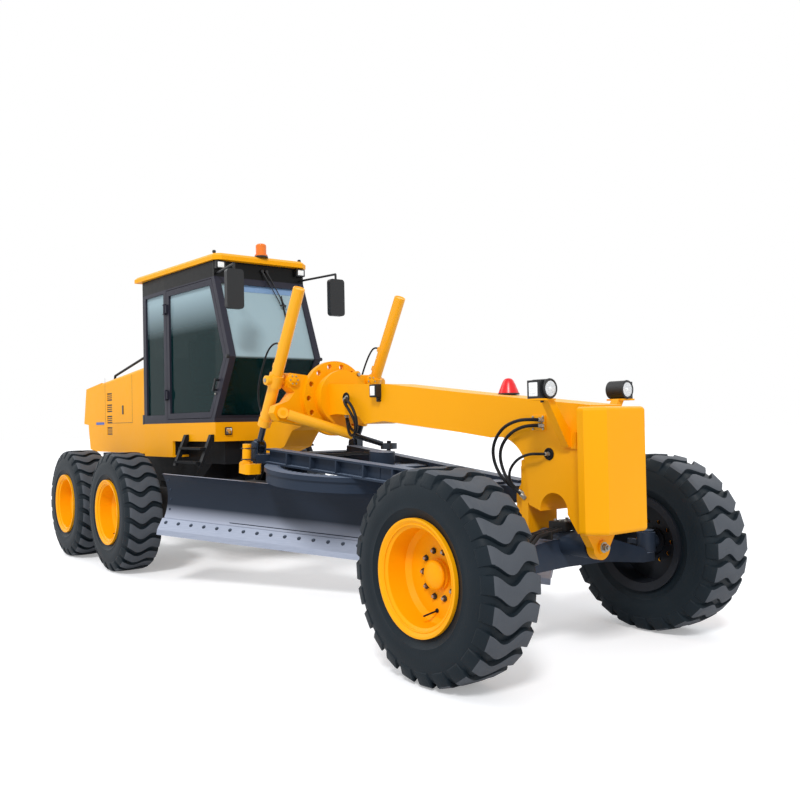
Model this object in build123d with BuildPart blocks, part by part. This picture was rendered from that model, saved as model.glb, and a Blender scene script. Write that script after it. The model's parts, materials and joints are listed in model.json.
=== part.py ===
# Motor grader with six wheels, in millimetres.
# X points forward, Y to the machine's left and Z up.
# The origin is on the ground, below the middle of the overall length.
import math
import os

from build123d import *

os.makedirs("parts", exist_ok=True)

# Overall layout
OVERALL_LENGTH = 9060
NOSE_REACH = 584
WHEELBASE = 6219
TANDEM_SPACING = 1538
TREAD = 2200
TYRE_R = 674
HINGE_AHEAD = 2219
FRONT_X = OVERALL_LENGTH / 2 - TYRE_R
TANDEM_X = FRONT_X - WHEELBASE
HINGE_X = TANDEM_X + HINGE_AHEAD
FACE_GAP = 0.3
RUNNING_FIT = 0.05

# Side views: one measured from the front axle, one from the middle of the tandem
FRONT_SIDE = Plane(origin=(FRONT_X, 0, 0), x_dir=(1, 0, 0), z_dir=(0, -1, 0))
REAR_SIDE = Plane(origin=(TANDEM_X, 0, 0), x_dir=(1, 0, 0), z_dir=(0, -1, 0))

# Wheels
TYRE_HALF = 222
TREAD_HALF = 165
CROWN_R = 638
SHOULDER_R = 560
LUG_COUNT = 24
LUG_TOP = 668.5
LUG_ROOT = SHOULDER_R - 6
LUG_REACH = 218
LUG_HALF = 62
LUG_BEND = 26
LUG_DRAFT = 8
BEAD_R = 318
BEAD_HALF = 178
FLANGE_R = 366
RIM_HALF = 220
RIM_WALL = 14
DISC_INNER = -5
DISC_THICK = 20
DISC_HOLES = 10
DISC_HOLE_R = 15
DISC_HOLE_RING = 150
BEAD_FACE = 170
BEAD_FIT = 0.2
HUB_R = 100
HUB_INNER = -20
CAP_R = 96
CAP_REACH = 60
SPINDLE_R = 60
SPINDLE_TIP = 38

# Tandem cases and rear axle
CASE_INNER = 560
CASE_OUTER = 830
CASE_END_R = 235
CASE_LID_INSET = 45
CASE_LID = 14
AXLE_TUBE_R = 170
TRUNNION_R = 120
TRUNNION_LENGTH = 150

# Rear frame
RAIL_INNER = 300
RAIL_OUTER = 420
RAIL_LOW = 960
RAIL_BACK = -1880
SADDLE_BLOCK_HALF = 190
HINGE_LUG_R = 110
HINGE_PIN_R = 50
HINGE_LOW = 1210
HINGE_TOP = 1455
HINGE_LUG = 85
HINGE_PIN_PROUD = 12
HINGE_PLATE_HALF = 260

# Cab
CAB_PLAN = [  # distance ahead of the tandem's middle, half width
    (269, 650),
    (889, 630),
    (1999, 560),
    (2379, 560),
]
CAB_REAR = 269
POST_X = 889
PILLAR_FOOT = 1999
WAIST_X = 2379
PILLAR_HEAD = 2039
SILL_LOW = 1665
SILL_TOP = 1710
WAIST_Z = 2345
HEAD_Z = 3225
SHELL_TOP = 3398
CAB_WALL = 60
POST_WIDTH = 70
GLASS_DEPTH = 24
GLASS = 8
DOOR_GAP = 6
DOOR_FRAME = 62
DOOR_HEAD = 3205
DOOR_HINGE_OUT = 20
DOOR_HINGE_HEIGHTS = (1950, 2950)
DOOR_KNUCKLE_R = 16
DOOR_KNUCKLE = 90
DOOR_PIN_R = 8
DOOR_LUG = 14
HEADER_DROP = 110
PILLAR_WIDTH = 75
CAB_FLOOR = 25
REAR_WINDOW_LOW = 2480
SEAT_X = 950
SEAT_SIZE = 500
SEAT_HEIGHT = 460
SEAT_BACK = 620
SEAT_CUSHION = 120
SEAT_BACK_THICK = 100
SEAT_BACK_LEAN = 80
SEAT_INSET = 10
CONSOLE_X = 1720
CONSOLE_HEIGHT = 640
STEERING_R = 200
STEERING_TILT = (-0.5, 0, 0.866)
STEERING_RIM = 26
STEERING_COLUMN_R = 28
STEERING_COLUMN = 50
STEERING_SPOKE = 34
CONSOLE_HALF = 110
BASE_FRONT = 2019
BASE_LOW_REAR = 1275
BASE_LOW_FRONT = 1460
RAIL_TOP = BASE_LOW_REAR
BASE_STEP_X = 1039
BASE_REAR = CAB_REAR
HOOD_FRONT = BASE_REAR
ROOF_LOW = 3398
ROOF_TOP = 3470
ROOF_REAR = 175
ROOF_FRONT = 2119
ROOF_REAR_HALF = 714
ROOF_FRONT_HALF = 585
ROOF_EDGE = 28

# Hood and tail
HOOD_HALF = 600
HOOD_LOW = 1300
HOOD_TOP_FRONT = 2389
HOOD_STEP_X = -1414
HOOD_TOP_REAR = 2253
TAIL_TOP_X = -2056
TAIL_TOP = 2191
TAIL_BACK_X = -2167
TAIL_LOW_BACK = 1691
TAIL_LOW_FRONT = 1636
TAIL_NOTCH_X = -1563
HOOD_BACK_X = -1894
HOOD_BACK_Z = 1330
HOOD_WALL = 25
HOOD_ROUND = 45
VENT_X = -1091
VENT_TOP = 2047
VENT_PITCH = 154
VENT_COUNT = 4
VENT_LENGTH = 200
VENT_HEIGHT = 104
VENT_DEPTH = 12
SLAT_COUNT = 3
SLAT = 12
TAIL_HALF = 596
GRILLE_WIDTH = 900
GRILLE_HEIGHT = 400
GRILLE_DEPTH = 40
GRILLE_BARS = 8
GRILLE_PITCH = 50
GRILLE_BAR = 18
TAIL_LAMP_Y = 520
TAIL_LAMP_WIDTH = 80
TAIL_LAMP_HEIGHT = 150
TAIL_LAMP_PROUD = 14
ENGINE_X = -720
ENGINE_LENGTH = 1200
ENGINE_HALF = 380
ENGINE_HEIGHT = 780

# Roof lights, mirrors, ladders and rails
LAMP_Y = 500
LAMP_Z = 3345
LAMP_WIDTH = 110
LAMP_HEIGHT = 80
LAMP_REACH = 50
BEACON_X = 2073
BEACON_R = 58
BEACON_HEIGHT = 150
MIRROR_X = 2611
MIRROR_Y = 620
MIRROR_Z = 3002
MIRROR_WIDTH = 190
MIRROR_HEIGHT = 400
MIRROR_DEPTH = 60
MIRROR_ARM_R = 12
MIRROR_ARM_Z = 3260
LADDER_BACK = 1406
LADDER_FRONT = 1964
LADDER_BAR = 60
LADDER_TOP = 1535
LADDER_LOW = 1195
LADDER_SPLAY = 170
LADDER_THICK = 34
RAIL_FOOT_X = -1092
RAIL_Y = 520
RAIL_R = 16
RAIL_RISE = 55
RAIL_END_Z = 2556

# Front frame: the beam, its two legs around the arch and the neck to the hinge
BEAM_HALF = 165
NOSE_DEPTH = 155
NOSE_HALF = 300
NOSE_FACE_HALF = 195
NOSE_BEVEL = 104
NOSE_LOW = 880
NOSE_TOP = 1705
NOSE_ROUND = 30
ARCH_REAR = (-15, 995)
ARCH_TOP = (82, 1125)
ARCH_FRONT = (221, 990)
PIVOT_Z = 770
PIVOT_PIN_R = 45
HANGER_R = 86
HANGER_HALF = 150
HANGER_THICK = 60
REAR_HANGER_X = -205
NECK_END = -3850
NECK_LUG_CLEAR = 5

# Saddle on the beam
DISC_Z = 1870
FRONT_DISC_X = -2605
FRONT_DISC_R = 265
FRONT_DISC_THICK = 45
INDEX_X = -2735
INDEX_R = 360
INDEX_THICK = 60
INDEX_HOLES = 14
INDEX_HOLE_R = 26
ARM_X = -2890
ARM_HALF_THICK = 55
WING_START = 505
WING_TOP = 1900
WING_CUT = 52
WING_LENGTH = 200
WING_HEIGHT = 350

# Lamps of the front frame
STRUT_X = 215
STRUT_WIDTH = 60
STRUT_LOW = 1440
STRUT_THICK = 12
HEAD_LAMP_X = 300
HEAD_LAMP_Y = 400
HEAD_LAMP_R = 64
HEAD_LAMP_DEPTH = 135
MARKER_DEPTH = 104
MARKER_WIDTH = 84
MARKER_BACK = 68
LAMP_PLATE_WIDTH = 150
HEAD_LAMP_BASE = 1764
WORK_LAMP_X = -1848
WORK_LAMP_Z = 1905
WORK_LAMP_WIDTH = 92
WORK_LAMP_HEIGHT = 112
WORK_LAMP_PROUD = 58

# Front axle and steering
KINGPIN_Y = 1000
KINGPIN_R = 40
AXLE_HALF = 70
AXLE_EYE_R = 60
YOKE_LOW = 535
YOKE_TOP = 600
SLEEVE_R = 70
SLEEVE_HEIGHT = 146
BOSS_R = 85
BOSS_BACK = -140
BOSS_FRONT = 290
STEER_ARM = 145
STEER_ARM_LOW = 650
STEER_ARM_THICK = 34
STEER_ARM_HALF = 24
TIE_R = 17
TIE_Z = 622
TIE_PIN_R = 14

# Drawbar, in its own plane through the ball at its front end
BALL_AHEAD = -250
BALL_Z = 1040
DRAWBAR_PITCH = 4.7
BALL_R = 62
LEG_LOW = -25
LEG_TOP = 120
LEG_WIDTH = 125
LEG_FLANGE = 18
LEG_POCKET = 52
LEG_POINTS = [  # distance behind the ball, outer half width
    (200, 190),
    (1070, 300),
    (2940, 545),
]
CROSS_BACK = -3070
CROSS_FRONT = -2940
CROSS_TOP = 60
CROSS_HALF = 640
CROSS_MEMBERS = [  # middle behind the ball, length, half width, top
    (-1500, 150, 300, 90),
    (-1760, 260, 330, 60),
]
HEAD_PLATE = [(-90, 45), (-90, -45), (-200, -190), (-420, -214), (-420, 214), (-200, 190)]
HEAD_PLATE_DROP = 20
NECK_R = 34
NECK_LENGTH = 140
RIB_COUNT = 7
RIB_PITCH = 345
RIB_THICK = 16
SWIVEL_U = -1790
SWIVEL_R = 115
SWIVEL_HEIGHT = 210
POST_FOOT_R = 50
POST_SUNK = 20
POST_PROUD = 50
LIFT_BALL = (-3233, 580, 1425)
LIFT_PIN_R = 30
EYE_R = 68
EYE_HALF = 30
EYE_SLACK = 22
CHEEK = 26
CHEEK_R = 48
PIN_IN_CHEEK = 8

# Circle below the drawbar
CIRCLE_U = -2370
CIRCLE_R = 760
CIRCLE_INNER = 610
CIRCLE_TOP = -25
CIRCLE_FLANGE = 42
CIRCLE_WALL_OUT = 742
CIRCLE_WALL_IN = 700
CIRCLE_LOW = -165
TOOTH_COUNT = 60
TOOTH = 26

# Drive of the circle
DRIVE_U = -3010
DRIVE_Y = -665
DRIVE_LENGTH = 190
DRIVE_WIDTH = 170
DRIVE_LOW = -125
MOTOR_R = 42
MOTOR_HEIGHT = 185
MOTOR_FLANGE = 18

# Blade, turned on the circle
BLADE_YAW = 30.4
BLADE_LENGTH = 3965
BLADE_OFFSET = 58
MOLD_R = 373
MOLD_THICK = 25
MOLD_CENTRE = (-512.5, -470.4)
MOLD_TOP = -211
MOLD_LOW = -770
EDGE_LOW = -821
EDGE_TOP = -665
EDGE_THICK = 20
EDGE_BACK = -278
TIP_WIDTH = 150
SLIDE_RAIL_BACK = -62
SLIDE_RAIL = 40
TOP_RAIL = -355
LOW_RAIL = -660
SLIDE_RAIL_HALF = 1150
BLADE_ARM_E = 560
BLADE_ARM_THICK = 70
PITCH_M = 30
ARM_FACE = -30
PITCH_W = -560
PITCH_PIN_R = 30
PITCH_EYE_R = 70
CARRIER_E = 480
CARRIER_THICK = 60
SIDE_CYLINDER_M = -78
SIDE_CYLINDER_W = -418
SIDE_CYLINDER_R = 32
SIDE_CYLINDER_WALL = 10
SIDE_ROD_R = 15
SIDE_ROD_INNER = 80
SIDE_ROD_HOLE = 6
SIDE_LUG_E = 1060
SIDE_LUG = (-119, -58)
SIDE_LUG_LENGTH = 40
SIDE_LUG_HALF = 32

# Cylinders
LIFT_TOP_PIN = (-2890, 580, 2043)
LIFT_BOSS_START = 400
LIFT_BOSS_END = 500
LIFT_BOSS_R = 72
LIFT_BARREL_R = 55
LIFT_BARREL_UP = 917
LIFT_BARREL_DOWN = 470
LIFT_ROD_R = 30
LIFT_ROD_INSIDE = 560
LIFT_HEAD = 60
LIFT_HEAD_PROUD = 8
LIFT_COLLAR = 16
LIFT_COLLAR_HALF = 60
STUB_LENGTH = 150
OVERRUN = 10
SHIFT_PIN = (-2735, -600, 1735)
SHIFT_BALL = (-2340, 325, 1405)
SHIFT_BARREL_R = 48
SHIFT_BARREL_LENGTH = 690
SHIFT_ROD_R = 25
SHIFT_EYE_HALF = 32
SHIFT_PIN_R = 26
SHIFT_EYE_R = 50
SHIFT_BOSS_R = 46
SHIFT_BOSS_LENGTH = 110
SHIFT_POST_R = 20
SHIFT_POST_SLACK = 38
SHIFT_RING_R = 78
SHIFT_RING_HALF = 28
SHIFT_BORE_START = 90
SHIFT_PIN_REACH = 70
SHIFT_ROD_START = 260
SHIFT_ROD_SUNK = 12
STUB_R = 35
STUB_END = 430


def side_block(plane, points, half_width):
    # A prism through the machine's middle, from its outline in a side view
    with BuildPart() as block:
        with BuildSketch(plane):
            with BuildLine():
                Polyline(*points, close=True)
            make_face()
        extrude(amount=half_width, both=True)
    return block.part


def rod_between(start, end, radius):
    # A round bar from one point to another
    axis = Vector(*end) - Vector(*start)
    with BuildPart() as rod:
        with BuildSketch(Plane(origin=start, z_dir=axis)):
            Circle(radius)
        extrude(amount=axis.length)
    return rod.part


def keep(piece, name):
    piece.part.label = name
    export_step(piece.part, f"parts/{name}.step")


# Tyre, about the Y axis at the origin: a flat-sided casing with one bent bar of tread on each flat
def casing_slice(start, end, radius, taper=0):
    # One slice of the casing, between two distances from the tyre's middle
    facing = 1 if end > start else -1
    with BuildPart() as casing:
        with BuildSketch(Plane(origin=(0, start, 0), x_dir=(1, 0, 0), z_dir=(0, facing, 0))):
            RegularPolygon(radius, LUG_COUNT)
        extrude(amount=abs(end - start), taper=taper)
    return casing.part


with BuildPart() as lug_bar:
    with BuildSketch(Plane.YZ.offset(LUG_ROOT)):
        with BuildLine():
            Polyline(
                (-LUG_REACH, LUG_BEND + LUG_HALF),
                (-LUG_REACH, LUG_BEND - LUG_HALF),
                (0, -LUG_BEND - LUG_HALF),
                (LUG_REACH, LUG_BEND - LUG_HALF),
                (LUG_REACH, LUG_BEND + LUG_HALF),
                (0, LUG_HALF - LUG_BEND),
                close=True,
            )
        make_face()
    extrude(amount=LUG_TOP - LUG_ROOT, taper=LUG_DRAFT)

BORE_R = (BEAD_R + BEAD_FIT) / math.cos(math.pi / LUG_COUNT)
SHOULDER_SLOPE = math.degrees(math.atan2(CROWN_R - SHOULDER_R, TYRE_HALF - TREAD_HALF))
WALL_SLOPE = math.degrees(math.atan2(SHOULDER_R - BORE_R, TYRE_HALF - BEAD_FACE))
with BuildPart() as tyre_blank:
    add(casing_slice(-TREAD_HALF, TREAD_HALF, CROWN_R))
    for hand in (-1, 1):
        add(casing_slice(hand * TREAD_HALF, hand * TYRE_HALF, CROWN_R, SHOULDER_SLOPE))
        add(casing_slice(hand * TYRE_HALF, hand * BEAD_FACE, SHOULDER_R, WALL_SLOPE), mode=Mode.SUBTRACT)
    add([lug_bar.part.rotate(Axis.Y, (turn + 0.5) * 360 / LUG_COUNT) for turn in range(LUG_COUNT)])
    add(casing_slice(-TYRE_HALF, TYRE_HALF, BORE_R), mode=Mode.SUBTRACT)

# Rim with its dished disc and hub, about the Y axis, outboard along +Y
with BuildPart() as rim_blank:
    with BuildSketch(Plane.XY):
        with BuildLine():
            inner = BEAD_R - RIM_WALL
            Polyline(
                (0, CAP_REACH),
                (CAP_R, CAP_REACH - 24),
                (CAP_R, DISC_INNER + DISC_THICK),
                (inner - 30, DISC_INNER + DISC_THICK),
                (inner, DISC_INNER + DISC_THICK + 30),
                (inner, RIM_HALF - 34),
                (FLANGE_R - RIM_WALL, RIM_HALF),
                (FLANGE_R, RIM_HALF),
                (FLANGE_R, BEAD_HALF + 14),
                (BEAD_R, BEAD_HALF),
                (BEAD_R, -BEAD_HALF),
                (FLANGE_R, -BEAD_HALF - 14),
                (FLANGE_R, -RIM_HALF),
                (inner, -RIM_HALF + 20),
                (inner, DISC_INNER),
                (HUB_R, DISC_INNER),
                (HUB_R, HUB_INNER),
                (SPINDLE_R + RUNNING_FIT, HUB_INNER),
                (SPINDLE_R + RUNNING_FIT, SPINDLE_TIP + 1),
                (0, SPINDLE_TIP + 1),
                close=True,
            )
        make_face()
    revolve(axis=Axis.Y)
    with BuildSketch(Plane.XZ):
        with PolarLocations(DISC_HOLE_RING, DISC_HOLES):
            Circle(DISC_HOLE_R)
    extrude(amount=RIM_HALF, both=True, mode=Mode.SUBTRACT)

WHEELS = [  # name, distance ahead of the front axle, side
    ("front_right", 0, -1),
    ("front_left", 0, 1),
    ("middle_right", TANDEM_SPACING / 2 - WHEELBASE, -1),
    ("middle_left", TANDEM_SPACING / 2 - WHEELBASE, 1),
    ("rear_right", -TANDEM_SPACING / 2 - WHEELBASE, -1),
    ("rear_left", -TANDEM_SPACING / 2 - WHEELBASE, 1),
]
for wheel_name, ahead, side in WHEELS:
    seat = Location((FRONT_X + ahead, side * TREAD / 2, TYRE_R), (0, 0, 0 if side > 0 else 180))
    with BuildPart() as tyre:
        add(tyre_blank.part.moved(seat))
    keep(tyre, f"tyre_{wheel_name}")
    with BuildPart() as rim:
        add(rim_blank.part.moved(seat))
    keep(rim, f"rim_{wheel_name}")

# Rear axle tube with its trunnions
with BuildPart() as rear_axle:
    with BuildSketch(REAR_SIDE):
        with Locations((0, TYRE_R)):
            Circle(AXLE_TUBE_R)
    extrude(amount=CASE_INNER - FACE_GAP, both=True)
    with BuildSketch(REAR_SIDE):
        with Locations((0, TYRE_R)):
            Circle(TRUNNION_R)
    extrude(amount=CASE_INNER + TRUNNION_LENGTH, both=True)
keep(rear_axle, "rear_axle")

# Tandem cases, one for each side, with their wheel spindles
for side, side_name in ((-1, "right"), (1, "left")):
    with BuildPart() as tandem:
        with BuildSketch(REAR_SIDE.offset(-side * CASE_INNER)):
            with Locations((0, TYRE_R)):
                SlotCenterToCenter(TANDEM_SPACING, 2 * CASE_END_R)
        extrude(amount=-side * (CASE_OUTER - CASE_INNER))
        chamfer(tandem.faces().sort_by(Axis.Y)[0 if side < 0 else -1].edges(), 12)
        with BuildSketch(REAR_SIDE.offset(-side * CASE_OUTER)):
            with Locations((0, TYRE_R)):
                SlotCenterToCenter(TANDEM_SPACING, 2 * (CASE_END_R - CASE_LID_INSET))
        extrude(amount=-side * CASE_LID)
        with BuildSketch(REAR_SIDE.offset(-side * CASE_OUTER)):
            with Locations((-TANDEM_SPACING / 2, TYRE_R), (TANDEM_SPACING / 2, TYRE_R)):
                Circle(SPINDLE_R)
        extrude(amount=-side * (TREAD / 2 + SPINDLE_TIP - CASE_OUTER))
        with BuildSketch(REAR_SIDE.offset(-side * CASE_INNER)):
            with Locations((0, TYRE_R)):
                Circle(TRUNNION_R + RUNNING_FIT)
        extrude(amount=-side * (TRUNNION_LENGTH + 1), mode=Mode.SUBTRACT)
    keep(tandem, f"tandem_{side_name}")

# Rear frame: two box rails, cross members, hinge lugs and the pin
with BuildPart() as rear_frame:
    rail_points = [
        (BASE_FRONT - 60, BASE_LOW_FRONT),
        (BASE_FRONT - 60, HINGE_LOW),
        (BASE_STEP_X + 380, HINGE_LOW),
        (BASE_STEP_X, RAIL_LOW),
        (RAIL_BACK + 160, RAIL_LOW),
        (RAIL_BACK, RAIL_LOW + 130),
        (RAIL_BACK, RAIL_TOP),
        (BASE_STEP_X, RAIL_TOP),
        (BASE_STEP_X, BASE_LOW_FRONT),
    ]
    for side in (-1, 1):
        with BuildSketch(REAR_SIDE.offset(-side * RAIL_INNER)):
            with BuildLine():
                Polyline(*rail_points, close=True)
            make_face()
            with Locations((0, (TYRE_R + RAIL_LOW) / 2 + 10)):
                Rectangle(2 * SADDLE_BLOCK_HALF, RAIL_LOW - TYRE_R + 20)
        extrude(amount=-side * (RAIL_OUTER - RAIL_INNER))
    # Cross members: behind the hinge, in the middle and at the tail
    for cross_x, cross_low, cross_high, cross_length in (
        (BASE_FRONT - 180, HINGE_LOW, BASE_LOW_FRONT, 240),
        (500, RAIL_LOW, RAIL_TOP, 160),
        (-900, RAIL_LOW, RAIL_TOP - 120, 160),
        (RAIL_BACK + 250, RAIL_LOW, RAIL_TOP, 120),
    ):
        with BuildSketch(REAR_SIDE):
            with Locations((cross_x, (cross_low + cross_high) / 2)):
                Rectangle(cross_length, cross_high - cross_low)
        extrude(amount=RAIL_INNER, both=True)
    # Two hinge lugs below the cab's base, and the pin
    for lug_low in (HINGE_LOW, HINGE_TOP - HINGE_LUG):
        with BuildSketch(Plane.XY.offset(lug_low)):
            with Locations((HINGE_X, 0)):
                Circle(HINGE_LUG_R)
            with BuildLine():
                Polyline(
                    (HINGE_X, HINGE_LUG_R),
                    (TANDEM_X + BASE_FRONT - 100, HINGE_PLATE_HALF),
                    (TANDEM_X + BASE_FRONT - 100, -HINGE_PLATE_HALF),
                    (HINGE_X, -HINGE_LUG_R),
                    close=True,
                )
            make_face()
        extrude(amount=HINGE_LUG)
    with BuildSketch(Plane.XY.offset(HINGE_LOW - HINGE_PIN_PROUD)):
        with Locations((HINGE_X, 0)):
            Circle(HINGE_PIN_R)
    extrude(amount=HINGE_TOP - HINGE_LOW + 2 * HINGE_PIN_PROUD)
    with BuildSketch(REAR_SIDE):
        with Locations((0, TYRE_R)):
            Circle(AXLE_TUBE_R)
    extrude(amount=CASE_INNER, both=True, mode=Mode.SUBTRACT)
keep(rear_frame, "rear_frame")

# Engine, a plain block on the rails
with BuildPart() as engine:
    with BuildSketch(Plane.XY.offset(RAIL_TOP)):
        with Locations((TANDEM_X + ENGINE_X, 0)):
            Rectangle(ENGINE_LENGTH, 2 * ENGINE_HALF)
    extrude(amount=ENGINE_HEIGHT)
keep(engine, "engine_block")

# Hood, a shell that is open below, with its vents
HOOD_OUTLINE = [  # distance ahead of the tandem's middle, height
    (HOOD_FRONT, HOOD_LOW),
    (HOOD_FRONT, HOOD_TOP_FRONT),
    (HOOD_STEP_X, HOOD_TOP_REAR),
    (HOOD_STEP_X, TAIL_LOW_FRONT),
    (TAIL_NOTCH_X, TAIL_LOW_FRONT),
    (HOOD_BACK_X - 70, TAIL_LOW_BACK - 20),
    (HOOD_BACK_X, HOOD_BACK_Z),
    (HOOD_BACK_X + 200, HOOD_LOW),
]
with BuildPart() as hood:
    add(side_block(REAR_SIDE, HOOD_OUTLINE, HOOD_HALF))
    fillet(hood.edges().filter_by(lambda e: e.center().Z > HOOD_TOP_REAR - 1 and e.length > 900
                                  and abs(e.center().Y) > HOOD_HALF - 1), HOOD_ROUND)
    with BuildSketch(REAR_SIDE):
        with BuildLine():
            Polyline(
                (HOOD_FRONT - HOOD_WALL, HOOD_LOW - 40),
                (HOOD_FRONT - HOOD_WALL, HOOD_TOP_FRONT - HOOD_WALL),
                (HOOD_STEP_X + HOOD_WALL, HOOD_TOP_REAR - HOOD_WALL),
                (HOOD_STEP_X + HOOD_WALL, TAIL_LOW_FRONT - HOOD_WALL),
                (HOOD_BACK_X - 20, TAIL_LOW_FRONT - HOOD_WALL),
                (HOOD_BACK_X + 40, HOOD_BACK_Z + 20),
                (HOOD_BACK_X + 200, HOOD_LOW - 40),
                close=True,
            )
        make_face()
    extrude(amount=HOOD_HALF - HOOD_WALL, both=True, mode=Mode.SUBTRACT)
    # Vents: a recess on each side with louvre slats left standing
    for side in (-1, 1):
        with BuildSketch(REAR_SIDE.offset(-side * HOOD_HALF)):
            for vent in range(VENT_COUNT):
                with Locations((VENT_X, VENT_TOP - vent * VENT_PITCH)):
                    Rectangle(VENT_LENGTH, VENT_HEIGHT)
                    for slat in range(SLAT_COUNT):
                        rise = (slat - (SLAT_COUNT - 1) / 2) * VENT_HEIGHT / (SLAT_COUNT + 1)
                        with Locations((0, rise)):
                            Rectangle(VENT_LENGTH, SLAT, mode=Mode.SUBTRACT)
        extrude(amount=side * VENT_DEPTH, mode=Mode.SUBTRACT)
keep(hood, "hood")

# Tail cowl behind the hood, with the radiator grille in its back
with BuildPart() as tail:
    add(side_block(REAR_SIDE, [
        (HOOD_STEP_X, TAIL_LOW_FRONT + FACE_GAP),
        (HOOD_STEP_X, HOOD_TOP_REAR),
        (TAIL_TOP_X, TAIL_TOP),
        (TAIL_BACK_X, TAIL_LOW_BACK),
        (TAIL_NOTCH_X, TAIL_LOW_FRONT + FACE_GAP),
    ], TAIL_HALF))
    back_top = Vector(TANDEM_X + TAIL_TOP_X, 0, TAIL_TOP)
    back_low = Vector(TANDEM_X + TAIL_BACK_X, 0, TAIL_LOW_BACK)
    back_up = (back_top - back_low).normalized()
    back_middle = (back_top + back_low) * 0.5
    back_plane = Plane(origin=back_middle, x_dir=(0, -1, 0), z_dir=Vector(-back_up.Z, 0, back_up.X))
    with BuildSketch(back_plane):
        Rectangle(GRILLE_WIDTH, GRILLE_HEIGHT)
        with GridLocations(0, GRILLE_PITCH, 1, GRILLE_BARS):
            Rectangle(GRILLE_WIDTH, GRILLE_BAR, mode=Mode.SUBTRACT)
        with GridLocations(GRILLE_WIDTH / 2, 0, 1, 1):
            Rectangle(GRILLE_BAR * 1.5, GRILLE_HEIGHT, mode=Mode.SUBTRACT)
    extrude(amount=-GRILLE_DEPTH, mode=Mode.SUBTRACT)
    with BuildSketch(back_plane):
        with Locations((-TAIL_LAMP_Y, -GRILLE_HEIGHT * 0.32), (TAIL_LAMP_Y, -GRILLE_HEIGHT * 0.32)):
            Rectangle(TAIL_LAMP_WIDTH, TAIL_LAMP_HEIGHT)
    extrude(amount=TAIL_LAMP_PROUD)
keep(tail, "tail_cowl")

# Base of the cab, a stepped box between the sill and the rails
BASE_OUTLINE = [  # distance ahead of the tandem's middle, height
    (BASE_REAR, BASE_LOW_REAR),
    (BASE_REAR, SILL_LOW),
    (BASE_FRONT, SILL_LOW),
    (BASE_FRONT, BASE_LOW_FRONT),
    (BASE_STEP_X, BASE_LOW_FRONT),
    (BASE_STEP_X, BASE_LOW_REAR),
]


def cab_half(ahead):
    # The cab's half width between its rear post and its front pillar
    (x0, y0), (x1, y1) = CAB_PLAN[1], CAB_PLAN[2]
    return y0 + (y1 - y0) * (ahead - x0) / (x1 - x0)


def cab_plan(inset, bottom, height):
    # The cab's tapered plan as an upright block, inset all round
    with BuildPart() as block:
        with BuildSketch(Plane.XY.offset(bottom)):
            with BuildLine():
                right = [(TANDEM_X + ahead, -half) for ahead, half in CAB_PLAN]
                left = [(TANDEM_X + ahead, half) for ahead, half in reversed(CAB_PLAN)]
                Polyline(*right, *left, close=True)
            make_face()
            if inset:
                offset(amount=-inset, kind=Kind.INTERSECTION)
        extrude(amount=height)
    return block.part


def cab_block(inset):
    # The whole cab's volume, inset by a wall
    low = SILL_LOW if inset == 0 else SILL_LOW + CAB_FLOOR
    with BuildPart() as block:
        add(cab_plan(inset, low, SHELL_TOP - inset - low))
        with BuildSketch(REAR_SIDE):
            with BuildLine():
                Polyline(
                    (CAB_REAR, SILL_LOW - 200),
                    (CAB_REAR, SHELL_TOP + 200),
                    (PILLAR_HEAD, SHELL_TOP + 200),
                    (PILLAR_HEAD, HEAD_Z),
                    (WAIST_X, WAIST_Z),
                    (PILLAR_FOOT, SILL_TOP),
                    (PILLAR_FOOT, SILL_LOW - 200),
                    close=True,
                )
            make_face()
            if inset:
                offset(amount=-inset, kind=Kind.INTERSECTION)
        extrude(amount=CAB_PLAN[0][1] + 10, both=True, mode=Mode.INTERSECT)
    return block.part


def slope_at(height):
    # The front pillar's distance ahead of the tandem's middle at a height
    if height >= WAIST_Z:
        share = (height - WAIST_Z) / (HEAD_Z - WAIST_Z)
        return WAIST_X + share * (PILLAR_HEAD - WAIST_X)
    share = (height - SILL_TOP) / (WAIST_Z - SILL_TOP)
    return PILLAR_FOOT + share * (WAIST_X - PILLAR_FOOT)


def door_outline(inset):
    # The door in the side view, from the rear post to the cranked front pillar
    low = SILL_TOP + DOOR_GAP + inset
    head = DOOR_HEAD - inset
    back = POST_X + POST_WIDTH / 2 + DOOR_GAP + inset
    front = PILLAR_WIDTH + inset
    return [
        (back, low),
        (back, head),
        (slope_at(head) - front, head),
        (WAIST_X - front * 1.05, WAIST_Z),
        (slope_at(low) - front, low),
    ]


def wall_window(points, near_wall):
    # What a side-view outline keeps of the cab's wall on one side
    with BuildPart() as window:
        with BuildSketch(REAR_SIDE):
            with BuildLine():
                Polyline(*points, close=True)
            make_face()
        extrude(amount=-near_wall * (CAB_PLAN[0][1] + 20))
    return window.part


outer_block = cab_block(0)
inner_block = cab_block(CAB_WALL)
glass_outer = cab_block(GLASS_DEPTH)
glass_inner = cab_block(GLASS_DEPTH + GLASS)
wall = outer_block - inner_block
pane_sheet = glass_outer - glass_inner
QUARTER_WINDOW = [
    (CAB_REAR + POST_WIDTH + 15, SILL_TOP + 55),
    (CAB_REAR + POST_WIDTH + 15, DOOR_HEAD - 20),
    (POST_X - POST_WIDTH / 2, DOOR_HEAD - 20),
    (POST_X - POST_WIDTH / 2, SILL_TOP + 55),
]
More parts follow.
